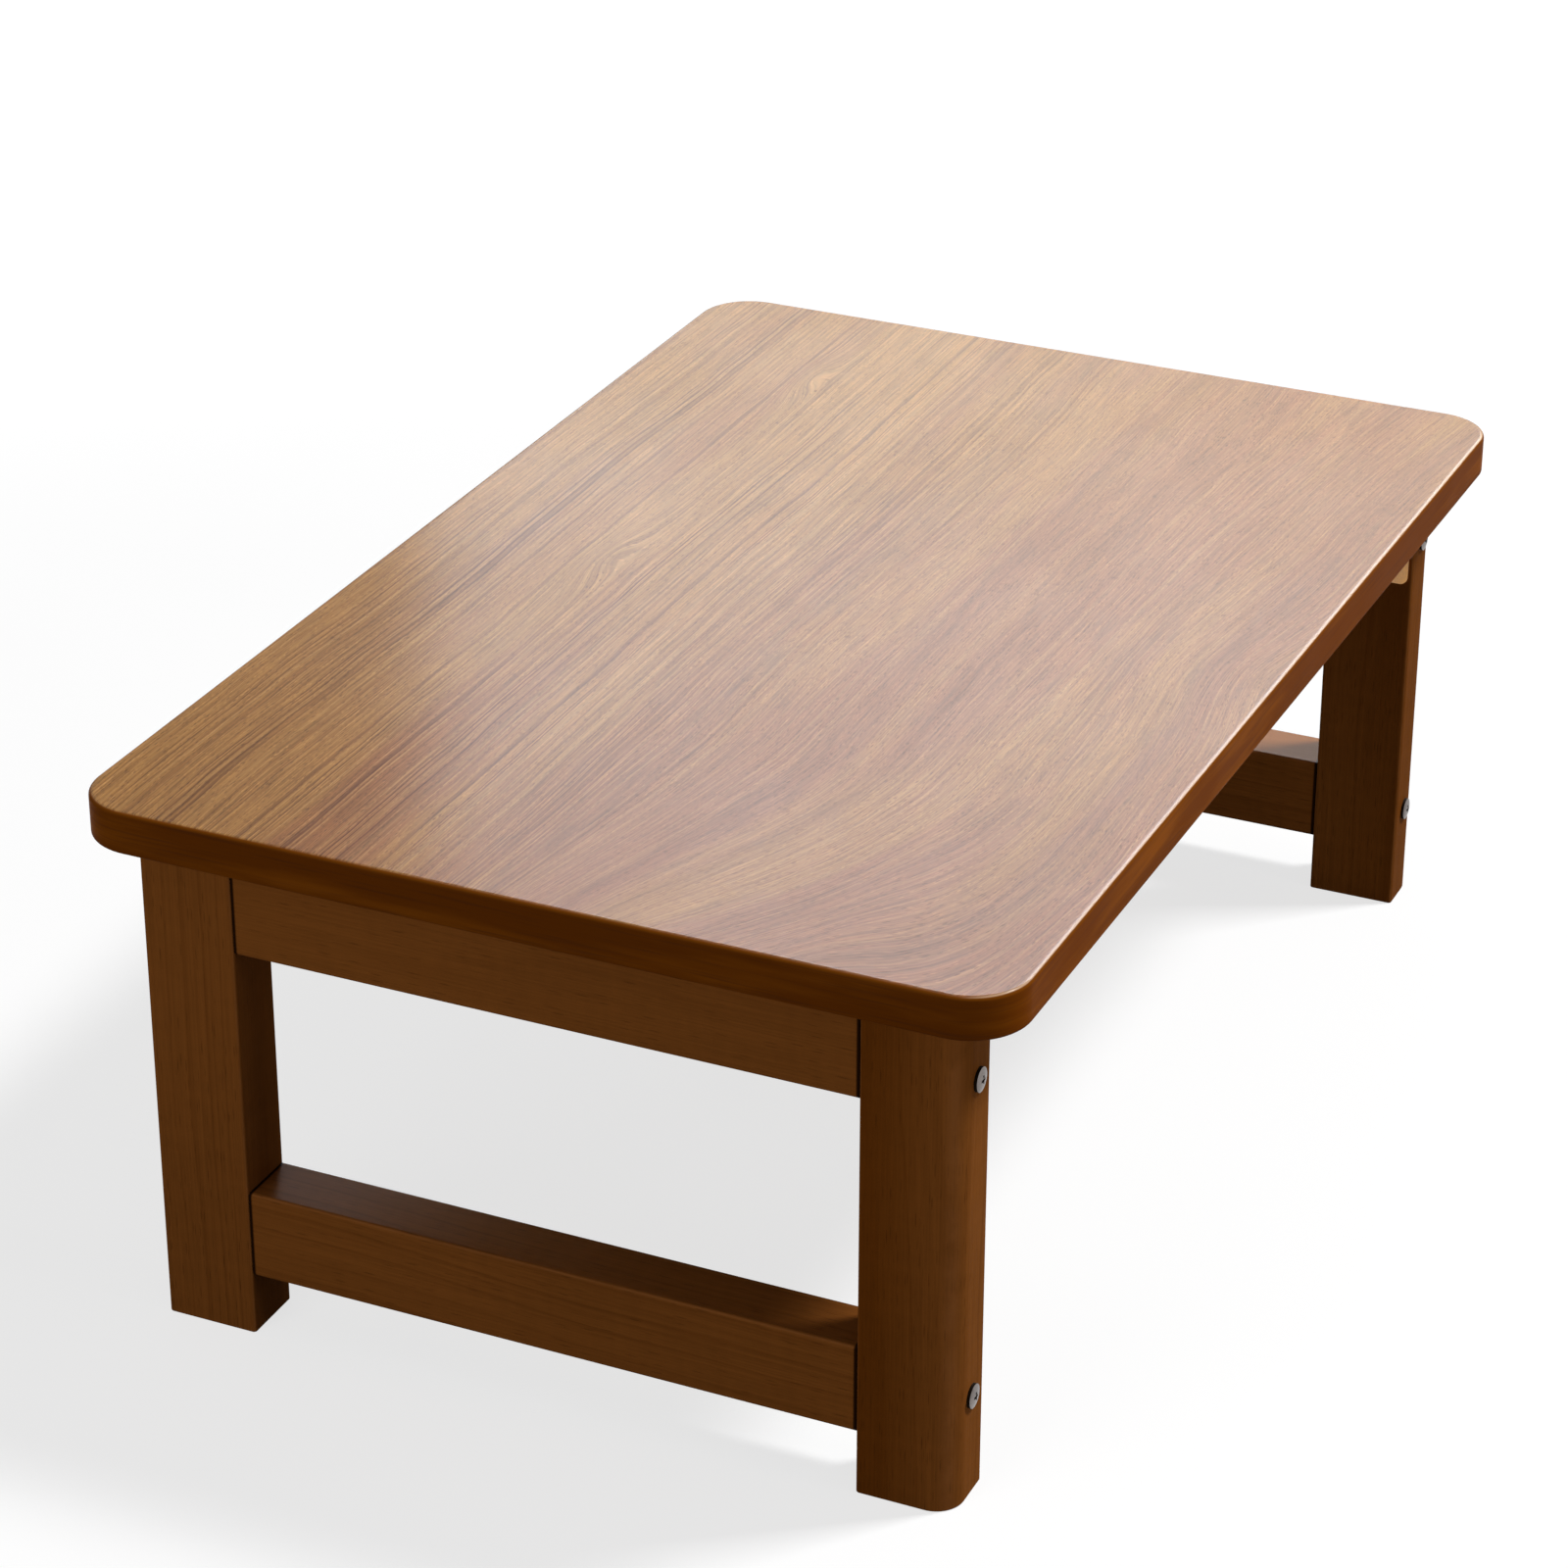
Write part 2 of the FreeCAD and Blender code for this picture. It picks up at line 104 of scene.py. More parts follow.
# How far from a rail's end the seam begins, and where it is full
SEAM_REACH = (0.0026, 0.0012)

# Depth of the relief in each surface, and the blur of the board's clear coat
BOARD_RELIEF = 0.00010
FRAME_RELIEF = 0.00012
PLATING_RELIEF = 0.00003
DOWEL_RELIEF = 0.00008
BOARD_COAT_ROUGHNESS = 0.16

# Part of the normal along a frame screw where the painted shade is full, and where it ends
SCREW_SHADE_EDGE = (0.35, 0.80)
SCREW_SHADE_ROUGHNESS = 0.85
SCREW_ROUGHNESS = 0.30

# Steps in the board's rounded corners and in its rims, and the upward part of a flat face's normal
CORNER_STEPS = 16
RIM_STEPS = 6
FLAT_FACE = 0.9999

# Place, target, width, height and power setting of each lamp
TABLE_MIDDLE = (0.0, 0.0, 0.25)
LAMPS = {
    "key_lamp": ((3.76, 2.80, 6.78), TABLE_MIDDLE, 1.4, 1.4, "key_power"),
    "fill_lamp": ((-0.9, -3.4, 1.0), TABLE_MIDDLE, 2.0, 1.6, "fill_power"),
    "side_lamp": ((4.0, -0.42, 0.7), (0.26, -0.42, 0.2), 0.5, 0.5, "side_power"),
}

# Panels that the lacquer mirrors: their width, how far back they stand, and the lower edge, the
# upper edge and the colour of each
SHEEN_WIDTH = 3.97
SHEEN_PLACE = 3.0
SHEEN_PANELS = (
    (1.15, 1.65, (0.71, 0.69, 0.61)),
    (1.65, 2.15, (0.88, 0.92, 0.97)),
    (2.15, 3.40, (0.83, 0.89, 1.00)),
)

# Strength of the floor's glow near the table and far off, and the distances where it changes
FLOOR_GLOW = (0.72, 1.0)
FLOOR_GLOW_REACH = (0.9, 3.0)

# Place of the camera, and where its right, its top and its back point
CAMERA_PLACE = (1.09731, -2.51316, 1.60878)
CAMERA_RIGHT = (0.91057, 0.41336, 0.00107)
CAMERA_UP = (-0.18728, 0.41023, 0.89254)
CAMERA_BACK = (0.36850, -0.81292, 0.45096)
SENSOR_WIDTH = 36.0


# Settings that a user would change


def colour_setting(name, description, default):
    """A colour with its alpha, in linear light."""
    return bpy.props.FloatVectorProperty(
        name=name, description=description, default=(*default, 1.0), size=4,
        subtype="COLOR", min=0.0, max=1.0)


def length_setting(name, description, default):
    """A length in metres."""
    return bpy.props.FloatProperty(
        name=name, description=description, default=default, min=0.0,
        subtype="DISTANCE", unit="LENGTH", precision=4)


def share_setting(name, description, default):
    """A share from nothing to all."""
    return bpy.props.FloatProperty(
        name=name, description=description, default=default, min=0.0, max=1.0, subtype="FACTOR")


def number_setting(name, description, default):
    """A number of 0 or more."""
    return bpy.props.FloatProperty(name=name, description=description, default=default, min=0.0)


class BoardSettings(bpy.types.PropertyGroup):
    """Sizes and colours of the tabletop."""

    corner_radius: length_setting("Corner radius", "Radius of the plan corners", 0.038)
    upper_round: length_setting("Upper round", "Width of the eased upper rim", 0.003)
    lower_round: length_setting("Lower round", "Width of the eased lower rim", 0.002)
    line_gap: length_setting("Line gap", "Mean distance between two lines of the figure", 0.0062)
    thread_gap: length_setting("Thread gap", "Mean distance between two fine lines", 0.0025)
    pale: colour_setting("Pale", "Thin pale lines of the figure", (0.430, 0.225, 0.075))
    straw: colour_setting("Straw", "Tan wood between the lines", (0.340, 0.160, 0.042))
    blush: colour_setting("Blush", "Pinkish wood in broad bands", (0.268, 0.104, 0.038))
    line: colour_setting("Line", "Dark lines of the figure", (0.085, 0.024, 0.009))
    pore: colour_setting("Pore", "Filled pores", (0.060, 0.018, 0.007))
    band: colour_setting("Band", "Stained rim of the board", (0.122, 0.030, 0.0018))
    # Painted light: the rim is paler on its long sides, where the key lamp strikes them
    long_band_and_light: number_setting(
        "Long band and light", "How much paler the rim is along the grain than across it", 1.4)
    # Also the colour of the painted light on the upper half of the rim's round
    band_cloud_and_light: colour_setting("Band cloud and light", "Lighter clouds in the rim", (0.190, 0.052, 0.0030))
    # A painted highlight along the right arris
    arris_highlight: colour_setting("Arris highlight", "Arris on the right, where the stain is off", (0.52, 0.32, 0.19))
    roughness: share_setting("Roughness", "Roughness of the wood under its lacquer", 0.42)
    gloss: share_setting("Gloss", "How thick the clear top coat lies", 0.10)


class FrameSettings(bpy.types.PropertyGroup):
    """Sizes and colours of the legs and rails."""

    ring_width: length_setting("Ring width", "Mean distance between two growth rings", 0.0055)
    earlywood: colour_setting("Earlywood", "Stained wood between the rings", (0.215, 0.071, 0.0135))
    latewood: colour_setting("Latewood", "Stained lines of the rings", (0.125, 0.037, 0.0060))
    # Colour of the painted shade on the sides of some legs
    side_shade: colour_setting("Side shade", "Wood that took the stain deeply", (0.120, 0.031, 0.0022))
    pore: colour_setting("Pore", "Pores filled with stain", (0.045, 0.013, 0.0025))
    seam: colour_setting(
        "Seam", "Stain and shade in the joints of rails and legs", (0.018, 0.006, 0.002))
    # Also the colour of painted highlights on arrises and of painted light on a top
    edge_wear_and_light: colour_setting("Edge wear and light", "Edges where the stain is thin", (0.34, 0.125, 0.036))
    roughness: share_setting("Roughness", "Roughness of the satin lacquer", 0.50)
    gloss: share_setting("Gloss", "How thick the clear coat lies on faces that look up", 0.10)


class FittingSettings(bpy.types.PropertyGroup):
    """Colours of the screws, brackets, bolts, nuts and dowels."""

    nickel: colour_setting("Nickel", "Plating of the screws", (0.20, 0.172, 0.16))
    dull_nickel: colour_setting("Dull nickel", "Duller clouds in that plating", (0.13, 0.11, 0.10))
    # Painted shade in the recess and round the rim of the frame screws
    screw_shade: colour_setting("Screw shade", "Recess and rim of the frame screws", (0.012, 0.007, 0.004))
    zinc: colour_setting("Zinc", "Plating of the bolts and nuts", (0.56, 0.57, 0.59))
    dull_bolt: colour_setting("Dull bolt", "Duller clouds on the bolts", (0.44, 0.45, 0.47))
    dull_nut: colour_setting("Dull nut", "Duller clouds on the nuts", (0.40, 0.40, 0.41))
    yellow_zinc: colour_setting("Yellow zinc", "Plating of the brackets", (0.60, 0.30, 0.10))
    dull_yellow: colour_setting("Dull yellow", "Duller clouds on the brackets", (0.52, 0.28, 0.12))
    beech: colour_setting("Beech", "Bare wood of the dowels", (0.56, 0.36, 0.19))
    beech_pore: colour_setting("Beech pore", "Pores of the dowels", (0.22, 0.11, 0.05))


class StageSettings(bpy.types.PropertyGroup):
    """The floor, the lamps and the lens."""

    floor: colour_setting("Floor", "Pale floor as it shows", (0.30, 0.30, 0.30))
    fleck: colour_setting("Fleck", "Flecks in the floor", (0.26, 0.26, 0.26))
    bounce: colour_setting("Bounce", "Floor as the table's light meets it", (0.15, 0.147, 0.143))
    floor_size: length_setting("Floor size", "Side of the square floor", 16.0)
    lens: bpy.props.FloatProperty(
        name="Lens", description="Focal length in millimetres on a 36 mm wide sensor",
        default=106.92, min=1.0)
    key_power: number_setting("Key power", "Power of the main lamp in watts", 590.0)
    fill_power: number_setting("Fill power", "Power of the front lamp in watts", 28.0)
    side_power: number_setting("Side power", "Power of the low lamp on the right in watts", 20.0)
    sheen: number_setting("Sheen", "Brightness of the panels that the lacquer mirrors", 21.0)
    air: number_setting("Air", "Strength of the light from all round", 0.17)
    air_tint: colour_setting("Air tint", "Colour of that light", (0.98, 0.99, 1.0))


SETTINGS = {
    "low_table_board": BoardSettings,
    "low_table_frames": FrameSettings,
    "low_table_fittings": FittingSettings,
    "low_table_stage": StageSettings,
}


# Node trees


class Graph:
    """Adds nodes to a node tree from left to right and links them."""

    spacing = 200

    def __init__(self, tree):
        self.tree = tree
        self.count = 0

    def add(self, kind, inputs=None, **settings):
        """One node. The inputs map a socket's name or number to a value, or to an output to link."""
        node = self.tree.nodes.new(kind)
        node.location = (self.count * self.spacing, 0)
        self.count += 1
        for name, value in settings.items():
            setattr(node, name, value)
        for name, value in (inputs or {}).items():
            self.feed(node.inputs[name], value)
        return node

    def feed(self, socket, value):
        """Sets an input's value or links an output to it. A node stands for its first output."""
        if isinstance(value, bpy.types.Node):
            value = value.outputs[0]
        if isinstance(value, bpy.types.NodeSocket):
            self.tree.links.new(value, socket)
        else:
            socket.default_value = value

    def math(self, operation, *values, clamp=False):
        """A Math node on one to three numbers. Clamped, its result stays between 0 and 1."""
        return self.add(
            "ShaderNodeMath", dict(enumerate(values)), operation=operation, use_clamp=clamp)

    def vector(self, operation, *values):
        """A Vector Math node that gives a vector."""
        node = self.add("ShaderNodeVectorMath", dict(enumerate(values)), operation=operation)
        return node.outputs["Vector"]

    def scale(self, vector, factor):
        """A vector times a number."""
        node = self.add("ShaderNodeVectorMath", {"Vector": vector, "Scale": factor}, operation="SCALE")
        return node.outputs["Vector"]

    def split(self, vector):
        """The X, Y and Z of a vector."""
        return self.add("ShaderNodeSeparateXYZ", {"Vector": vector}).outputs

    def join(self, x, y, z):
        """A vector from three numbers."""
        return self.add("ShaderNodeCombineXYZ", {"X": x, "Y": y, "Z": z})

    def noise(self, vector, pace, detail=2.0, roughness=0.5):
        """Soft noise. The pace is how many of its swells lie in a metre along X, Y and Z."""
        place = self.vector("MULTIPLY", vector, pace)
        return self.add("ShaderNodeTexNoise", {
            "Vector": place, "Scale": 1.0, "Detail": detail, "Roughness": roughness})

    def noise_along(self, place, pace, detail=2.0):
        """Soft noise along one line."""
        return self.add("ShaderNodeTexNoise", {
            "W": self.math("MULTIPLY", place, pace), "Scale": 1.0, "Detail": detail},
            noise_dimensions="1D")

    def chance(self, number):
        """A number from 0 to 1 that is drawn for each whole number."""
        node = self.add("ShaderNodeTexWhiteNoise", {"W": number}, noise_dimensions="1D")
        return node.outputs["Value"]

    def fade(self, value, low, high, start=0.0, end=1.0):
        """A number that goes smoothly from start to end as the value goes from low to high."""
        return self.add("ShaderNodeMapRange", {
            "Value": value, "From Min": low, "From Max": high, "To Min": start, "To Max": end},
            interpolation_type="SMOOTHSTEP")

    def mix(self, factor, below, above, blend="MIX"):
        """Two colours mixed."""
        node = self.add("ShaderNodeMix", {"Factor": factor}, data_type="RGBA", blend_type=blend)
        sockets = [socket for socket in node.inputs if socket.type == "RGBA"]
        for socket, value in zip(sockets, (below, above)):
            self.feed(socket, value)
        return [socket for socket in node.outputs if socket.type == "RGBA"][0]

    def lay(self, colour, above, mask, share):
        """A colour with another laid over it where a mask is, at a share of its strength."""
        return self.mix(self.math("MULTIPLY", mask, share), colour, above)

    def shade(self, colour, tone):
        """A colour made darker or lighter by a number about 1."""
        return self.mix(1.0, colour, self.join(tone, tone, tone), "MULTIPLY")

    def ramp(self, value, stops):
        """A number read off a curve of straight runs. Each stop is a place and a level."""
        node = self.add("ShaderNodeValToRGB", {"Fac": value})
        elements = node.color_ramp.elements
        while len(elements) < len(stops):
            elements.new(0.5)
        for element, (place, level) in zip(elements, stops):
            element.position = place
            element.color = (level, level, level, 1.0)
        return node

    def group(self, name, **inputs):
        """A placed node group. Underscores in the names of its inputs stand for spaces."""
        kind = self.tree.bl_idname.replace("NodeTree", "NodeGroup")
        node = self.add(kind, node_tree=bpy.data.node_groups[name])
        for key, value in inputs.items():
            self.feed(node.inputs[key.replace("_", " ")], value)
        return node.outputs


def new_group(name, inputs, outputs, kind="ShaderNodeTree"):
    """A node group with its sockets, ready to be filled, and what its input node gives."""
    tree = bpy.data.node_groups.new(name, kind)
    for socket_name, socket_kind, *default in inputs:
        socket = tree.interface.new_socket(
            name=socket_name, in_out="INPUT", socket_type="NodeSocket" + socket_kind)
        if default:
            socket.default_value = default[0]
    for socket_name, socket_kind in outputs:
        tree.interface.new_socket(
            name=socket_name, in_out="OUTPUT", socket_type="NodeSocket" + socket_kind)
    graph = Graph(tree)
    return graph, graph.add("NodeGroupInput").outputs


# Shader groups that the materials share


def build_growth_rings():
    """Rings about two piths that lean away from the surface. The grain runs along Y."""
    graph, given = new_group("Growth rings", [
        ("Vector", "Vector"),
        ("First Pith", "Vector"),
        ("Second Pith", "Vector"),
        ("Lean", "Float", 0.0),
        ("Ring Width", "Float", 0.006),
        ("Wander", "Float", 0.012),
        ("Merge", "Float", 0.05),
    ], [("Latewood", "Float"), ("Streak", "Float")])
    place = given["Vector"]
    slow = graph.noise(place, (6.0, 2.2, 6.0)).outputs["Color"]
    quick = graph.noise(place, (34.0, 8.0, 34.0)).outputs["Color"]
    drift = graph.scale(graph.vector("SUBTRACT", slow, MID_NOISE), given["Wander"])
    tremble_size = graph.math("MULTIPLY", given["Wander"], 0.16)
    tremble = graph.scale(graph.vector("SUBTRACT", quick, MID_NOISE), tremble_size)
    place = graph.vector("ADD", place, graph.vector("ADD", drift, tremble))
    spot = graph.split(place)
    lift = graph.math("MULTIPLY", spot["Y"], given["Lean"])
    distances = []
    for pith in ("First Pith", "Second Pith"):
        heart = graph.split(given[pith])
        across = graph.math("SUBTRACT", spot["X"], heart["X"])
        side_shade_mask = graph.math("ADD", graph.math("SUBTRACT", spot["Z"], heart["Z"]), lift)
        square = graph.math("ADD", graph.math("POWER", across, 2.0), graph.math("POWER", side_shade_mask, 2.0))
        distances.append(graph.math("SQRT", square))
    distance = graph.math("SMOOTH_MIN", *distances, given["Merge"])
    count = graph.math("DIVIDE", distance, given["Ring Width"])
    unevenness = graph.noise_along(count, 0.31)
    count = graph.math("ADD", count, graph.math("MULTIPLY", unevenness, 3.0))
    year = graph.math("FLOOR", count)
    season = graph.math("FRACT", count)
    strength = graph.fade(graph.chance(year), 0.0, 1.0, 0.25, 1.0)
    line = graph.ramp(season, [(0.0, 0.0), (0.35, 0.05), (0.78, 0.75), (0.90, 1.0), (1.0, 0.0)])
    late = graph.math("MULTIPLY", line, strength)
    streak = graph.fade(graph.noise_along(count, 0.17, 3.0), 0.52, 0.66)
    graph.add("NodeGroupOutput", {"Latewood": late, "Streak": streak})


def build_figure_lines():
    """Lines of a board's figure, square to X and along Y: some dark, some light, in uneven groups."""
    graph, given = new_group("Figure lines", [
        ("Vector", "Vector"),
        ("Gap", "Float", 0.006),
    ], [("Dark", "Float"), ("Light", "Float"), ("Streak", "Float")])
    across = graph.split(given["Vector"])["X"]
    count = graph.math("ADD", graph.math("DIVIDE", across, given["Gap"]), MIDDLE_LINE)
    uneven = graph.noise_along(count, 0.37)
    count = graph.math("ADD", count, graph.fade(uneven, 0.2, 0.8, -1.1, 1.1))
    season = graph.math("FRACT", count)
    chance = graph.chance(graph.math("FLOOR", count))
    drawn = graph.noise(given["Vector"], (60.0, 3.5, 60.0))
    presence = graph.fade(drawn, 0.34, 0.62, 0.45, 1.0)
    dark = graph.ramp(season, [
        (0.0, 0.0), (0.46, 0.0), (0.70, 0.6), (0.80, 1.0), (0.90, 0.2), (1.0, 0.0)])
    light = graph.ramp(season, [(0.0, 0.3), (0.08, 1.0), (0.22, 0.4), (0.34, 0.0), (1.0, 0.0)])
    dark = graph.math("MULTIPLY", dark, graph.fade(chance, 0.0, 0.9, 0.42, 1.0))
    light = graph.math("MULTIPLY", light, graph.fade(chance, 1.0, 0.2, 0.35, 1.0))
    streak = graph.fade(graph.noise_along(count, 0.16, 3.0), 0.50, 0.66)
    graph.add("NodeGroupOutput", {
        "Dark": graph.math("MULTIPLY", dark, presence),
        "Light": graph.math("MULTIPLY", light, presence),
        "Streak": graph.math("MULTIPLY", streak, presence)})


def build_pores():
    """Short dark pores along Y, some open and some faint."""
    graph, given = new_group("Pores", [
        ("Vector", "Vector"),
        ("Width", "Float", 0.0011),
        ("Length", "Float", 0.012),
        ("Share", "Float", 0.5),
    ], [("Mask", "Float")])
    across = graph.math("DIVIDE", 1.0, given["Width"])
    along = graph.math("DIVIDE", 1.0, given["Length"])
    cells = graph.vector("MULTIPLY", given["Vector"], graph.join(across, along, across))
    cell = graph.add("ShaderNodeTexVoronoi", {"Vector": cells, "Scale": 1.0, "Randomness": 1.0})
    chance = graph.split(cell.outputs["Color"])["X"]
    present = graph.math("LESS_THAN", chance, given["Share"])
    spot = graph.fade(cell.outputs["Distance"], 0.18, 0.42, 1.0, 0.0)
    faint = graph.fade(graph.split(cell.outputs["Color"])["Y"], 0.0, 1.0, 0.3, 1.0)
    mask = graph.math("MULTIPLY", graph.math("MULTIPLY", present, spot), faint)
    graph.add("NodeGroupOutput", {"Mask": mask})


def build_fibres():
    """Fine light and dark threads along Y, from -1 to 1, and the slow shimmer across them."""
    graph, given = new_group("Fibres", [
        ("Vector", "Vector"),
        ("Width", "Float", 0.0012),
        ("Length", "Float", 0.06),
    ], [("Thread", "Float"), ("Shimmer", "Float")])
    across = graph.math("DIVIDE", 1.0, given["Width"])
    along = graph.math("DIVIDE", 1.0, given["Length"])
    pace = graph.join(across, along, across)
    thread = graph.fade(graph.noise(given["Vector"], pace, 3.0, 0.6), 0.28, 0.72, -1.0, 1.0)
    ripple = graph.noise(given["Vector"], (38.0, 110.0, 38.0), 1.0)
    cloud = graph.noise(given["Vector"], (5.0, 3.0, 5.0))
    waves = graph.math("ADD", graph.math("MULTIPLY", ripple, 0.4), cloud)
    shimmer = graph.fade(waves, 0.4, 1.0, -1.0, 1.0)
    graph.add("NodeGroupOutput", {"Thread": thread, "Shimmer": shimmer})


def build_edge_wear_and_highlight():
    """Where a squared piece turns from one face to the next, broken up as by handling.
    This is wear, and also a painted highlight on the arrises.
    """
    graph, given = new_group("Rubbed edges", [
        ("Vector", "Vector"),
        ("Normal", "Vector"),
        ("Amount", "Float", 1.0),
    ], [("Mask", "Float")])
    facing = graph.split(graph.vector("ABSOLUTE", given["Normal"]))
    nearest = graph.math("MAXIMUM", facing["X"], graph.math("MAXIMUM", facing["Y"], facing["Z"]))
    turned = graph.fade(nearest, 0.72, 0.97, 1.0, 0.0)
    wear = graph.noise(given["Vector"], (45.0, 45.0, 45.0), 3.0)
    broken = graph.fade(wear, 0.3, 0.62, 0.35, 1.0)
    mask = graph.math("MULTIPLY", graph.math("MULTIPLY", turned, broken), given["Amount"])
    graph.add("NodeGroupOutput", {"Mask": mask})


def build_lacquer_film():
    """The slight waviness of a sprayed coat and the smears of use on it."""
    graph, given = new_group("Lacquer film", [
        ("Vector", "Vector"),
        ("Roughness", "Float", 0.35),
    ], [("Roughness", "Float"), ("Height", "Float")])
    smear = graph.noise(given["Vector"], (9.0, 6.0, 9.0), 4.0, 0.6)
    grit = graph.noise(given["Vector"], (900.0, 900.0, 900.0))
    peel = graph.noise(given["Vector"], (160.0, 160.0, 160.0))
    smeared = graph.fade(smear, 0.3, 0.7, -0.04, 0.05)
    change = graph.math("ADD", smeared, graph.fade(grit, 0.3, 0.7, -0.02, 0.02))
    roughness = graph.math("ADD", given["Roughness"], change, clamp=True)
    graph.add("NodeGroupOutput", {"Roughness": roughness, "Height": peel})


def build_plating():
    """Plated steel: cloudy tone, faint drawn marks and small pits."""
    graph, given = new_group("Plating", [
        ("Vector", "Vector"),
        ("Colour", "Color"),
        ("Dull Colour", "Color"),
        ("Mark Colour", "Color", (0.12, 0.115, 0.11, 1.0)),
        ("Pit Colour", "Color", (0.05, 0.045, 0.04, 1.0)),
        ("Roughness", "Float", 0.3),
    ], [("Colour", "Color"), ("Roughness", "Float"), ("Height", "Float")])
    cloud = graph.noise(given["Vector"], (90.0, 90.0, 90.0), 3.0)
    mark = graph.noise(given["Vector"], (2600.0, 160.0, 700.0))
    pit = graph.fade(graph.noise(given["Vector"], (1500.0, 1500.0, 1500.0), 1.0), 0.66, 0.74)
    colour = graph.mix(graph.fade(cloud, 0.35, 0.65), given["Colour"], given["Dull Colour"])
    colour = graph.mix(graph.fade(mark, 0.4, 0.75, 0.0, 0.25), colour, given["Mark Colour"])
    colour = graph.lay(colour, given["Pit Colour"], pit, 0.5)
    clouded = graph.fade(cloud, 0.3, 0.7, -0.05, 0.08)
    change = graph.math("ADD", clouded, graph.fade(mark, 0.3, 0.7, -0.04, 0.06))
    roughness = graph.math("ADD", given["Roughness"], change, clamp=True)
    height = graph.math("SUBTRACT", mark, graph.math("MULTIPLY", pit, 1.5))
    graph.add("NodeGroupOutput", {"Colour": colour, "Roughness": roughness, "Height": height})


# Materials


def new_material(name):
    """An empty material with its graph and its object coordinates."""
    material = bpy.data.materials.new(name)
    material.use_nodes = True
    material.node_tree.nodes.clear()
    graph = Graph(material.node_tree)
    return material, graph, graph.add("ShaderNodeTexCoord").outputs


def finish_material(material, graph, colour, roughness, normal, coat=0.0, **plain):
    """The surface shader. The plain values are the same all over."""
    shader = graph.add("ShaderNodeBsdfPrincipled", {
        "Base Color": colour, "Roughness": roughness, "Normal": normal, "Coat Weight": coat})
    for key, value in plain.items():
        shader.inputs[key.replace("_", " ")].default_value = value
    graph.add("ShaderNodeOutputMaterial", {"Surface": shader})
    return material


def bump(graph, height, relief):
    """The normal of a surface with that height on it."""
    return graph.add("ShaderNodeBump", {"Height": height, "Distance": relief})


def bent_grain(graph, place):
    """The board's coordinates with the grain's bends undone, so that straight lines come out bent."""
    spot = graph.split(place)
    x = spot["X"]
    y = spot["Y"]
    knot = graph.math("DIVIDE", graph.math("SUBTRACT", y, DIP_MIDDLE), DIP_REACH)
    dip = graph.math("DIVIDE", 1.0, graph.math("MULTIPLY_ADD", knot, knot, 1.0))
    dip = graph.math("MULTIPLY", dip, graph.fade(x, *DIP_GROWS, 0.0, DIP_DEPTH))
    run_out = graph.math("MINIMUM", graph.math("SUBTRACT", y, FAN_START), 0.0)
    spread = graph.fade(x, *FAN_WEAKENS, *FAN_BENDS)
    fan = graph.math("MULTIPLY", graph.math("POWER", run_out, 2.0), spread)
    fan = graph.math("MULTIPLY", fan, graph.fade(x, *FAN_GROWS))
    run_on = graph.math("MAXIMUM", graph.math("SUBTRACT", y, TAIL_START), 0.0)
    sweep = graph.fade(x, *TAIL_GROWS, 0.0, TAIL_BEND)
    tail = graph.math("MULTIPLY", graph.math("POWER", run_on, 2.0), sweep)
    slow = graph.noise(place, (6.0, 2.0, 6.0), 1.0)
    quick = graph.noise(place, (30.0, 9.0, 30.0))
    sway = graph.fade(x, *SWAY_GROWS, *SWAY)
    drift = graph.math("MULTIPLY", graph.fade(slow, 0.25, 0.75, -1.0, 1.0), sway)
    tremble = graph.fade(quick, 0.2, 0.8, -TREMBLE, TREMBLE)
    bent = x
    for part in (dip, fan, tail, drift, tremble):
        bent = graph.math("ADD", bent, part)
    for eye_x, eye_y, size in BOARD_EYES:
        across = graph.math("DIVIDE", graph.math("SUBTRACT", x, eye_x), size)
        along = graph.math("DIVIDE", graph.math("SUBTRACT", y, eye_y), size * EYE_LENGTH)
        across = graph.math("MULTIPLY", across, across)
        reach = graph.math("ADD", across, graph.math("MULTIPLY", along, along))
        swell = graph.math("EXPONENT", graph.math("MULTIPLY", reach, -1.0))
        bent = graph.math("ADD", bent, graph.math("MULTIPLY", swell, size * EYE_SWELL))
    return graph.join(bent, y, spot["Z"])


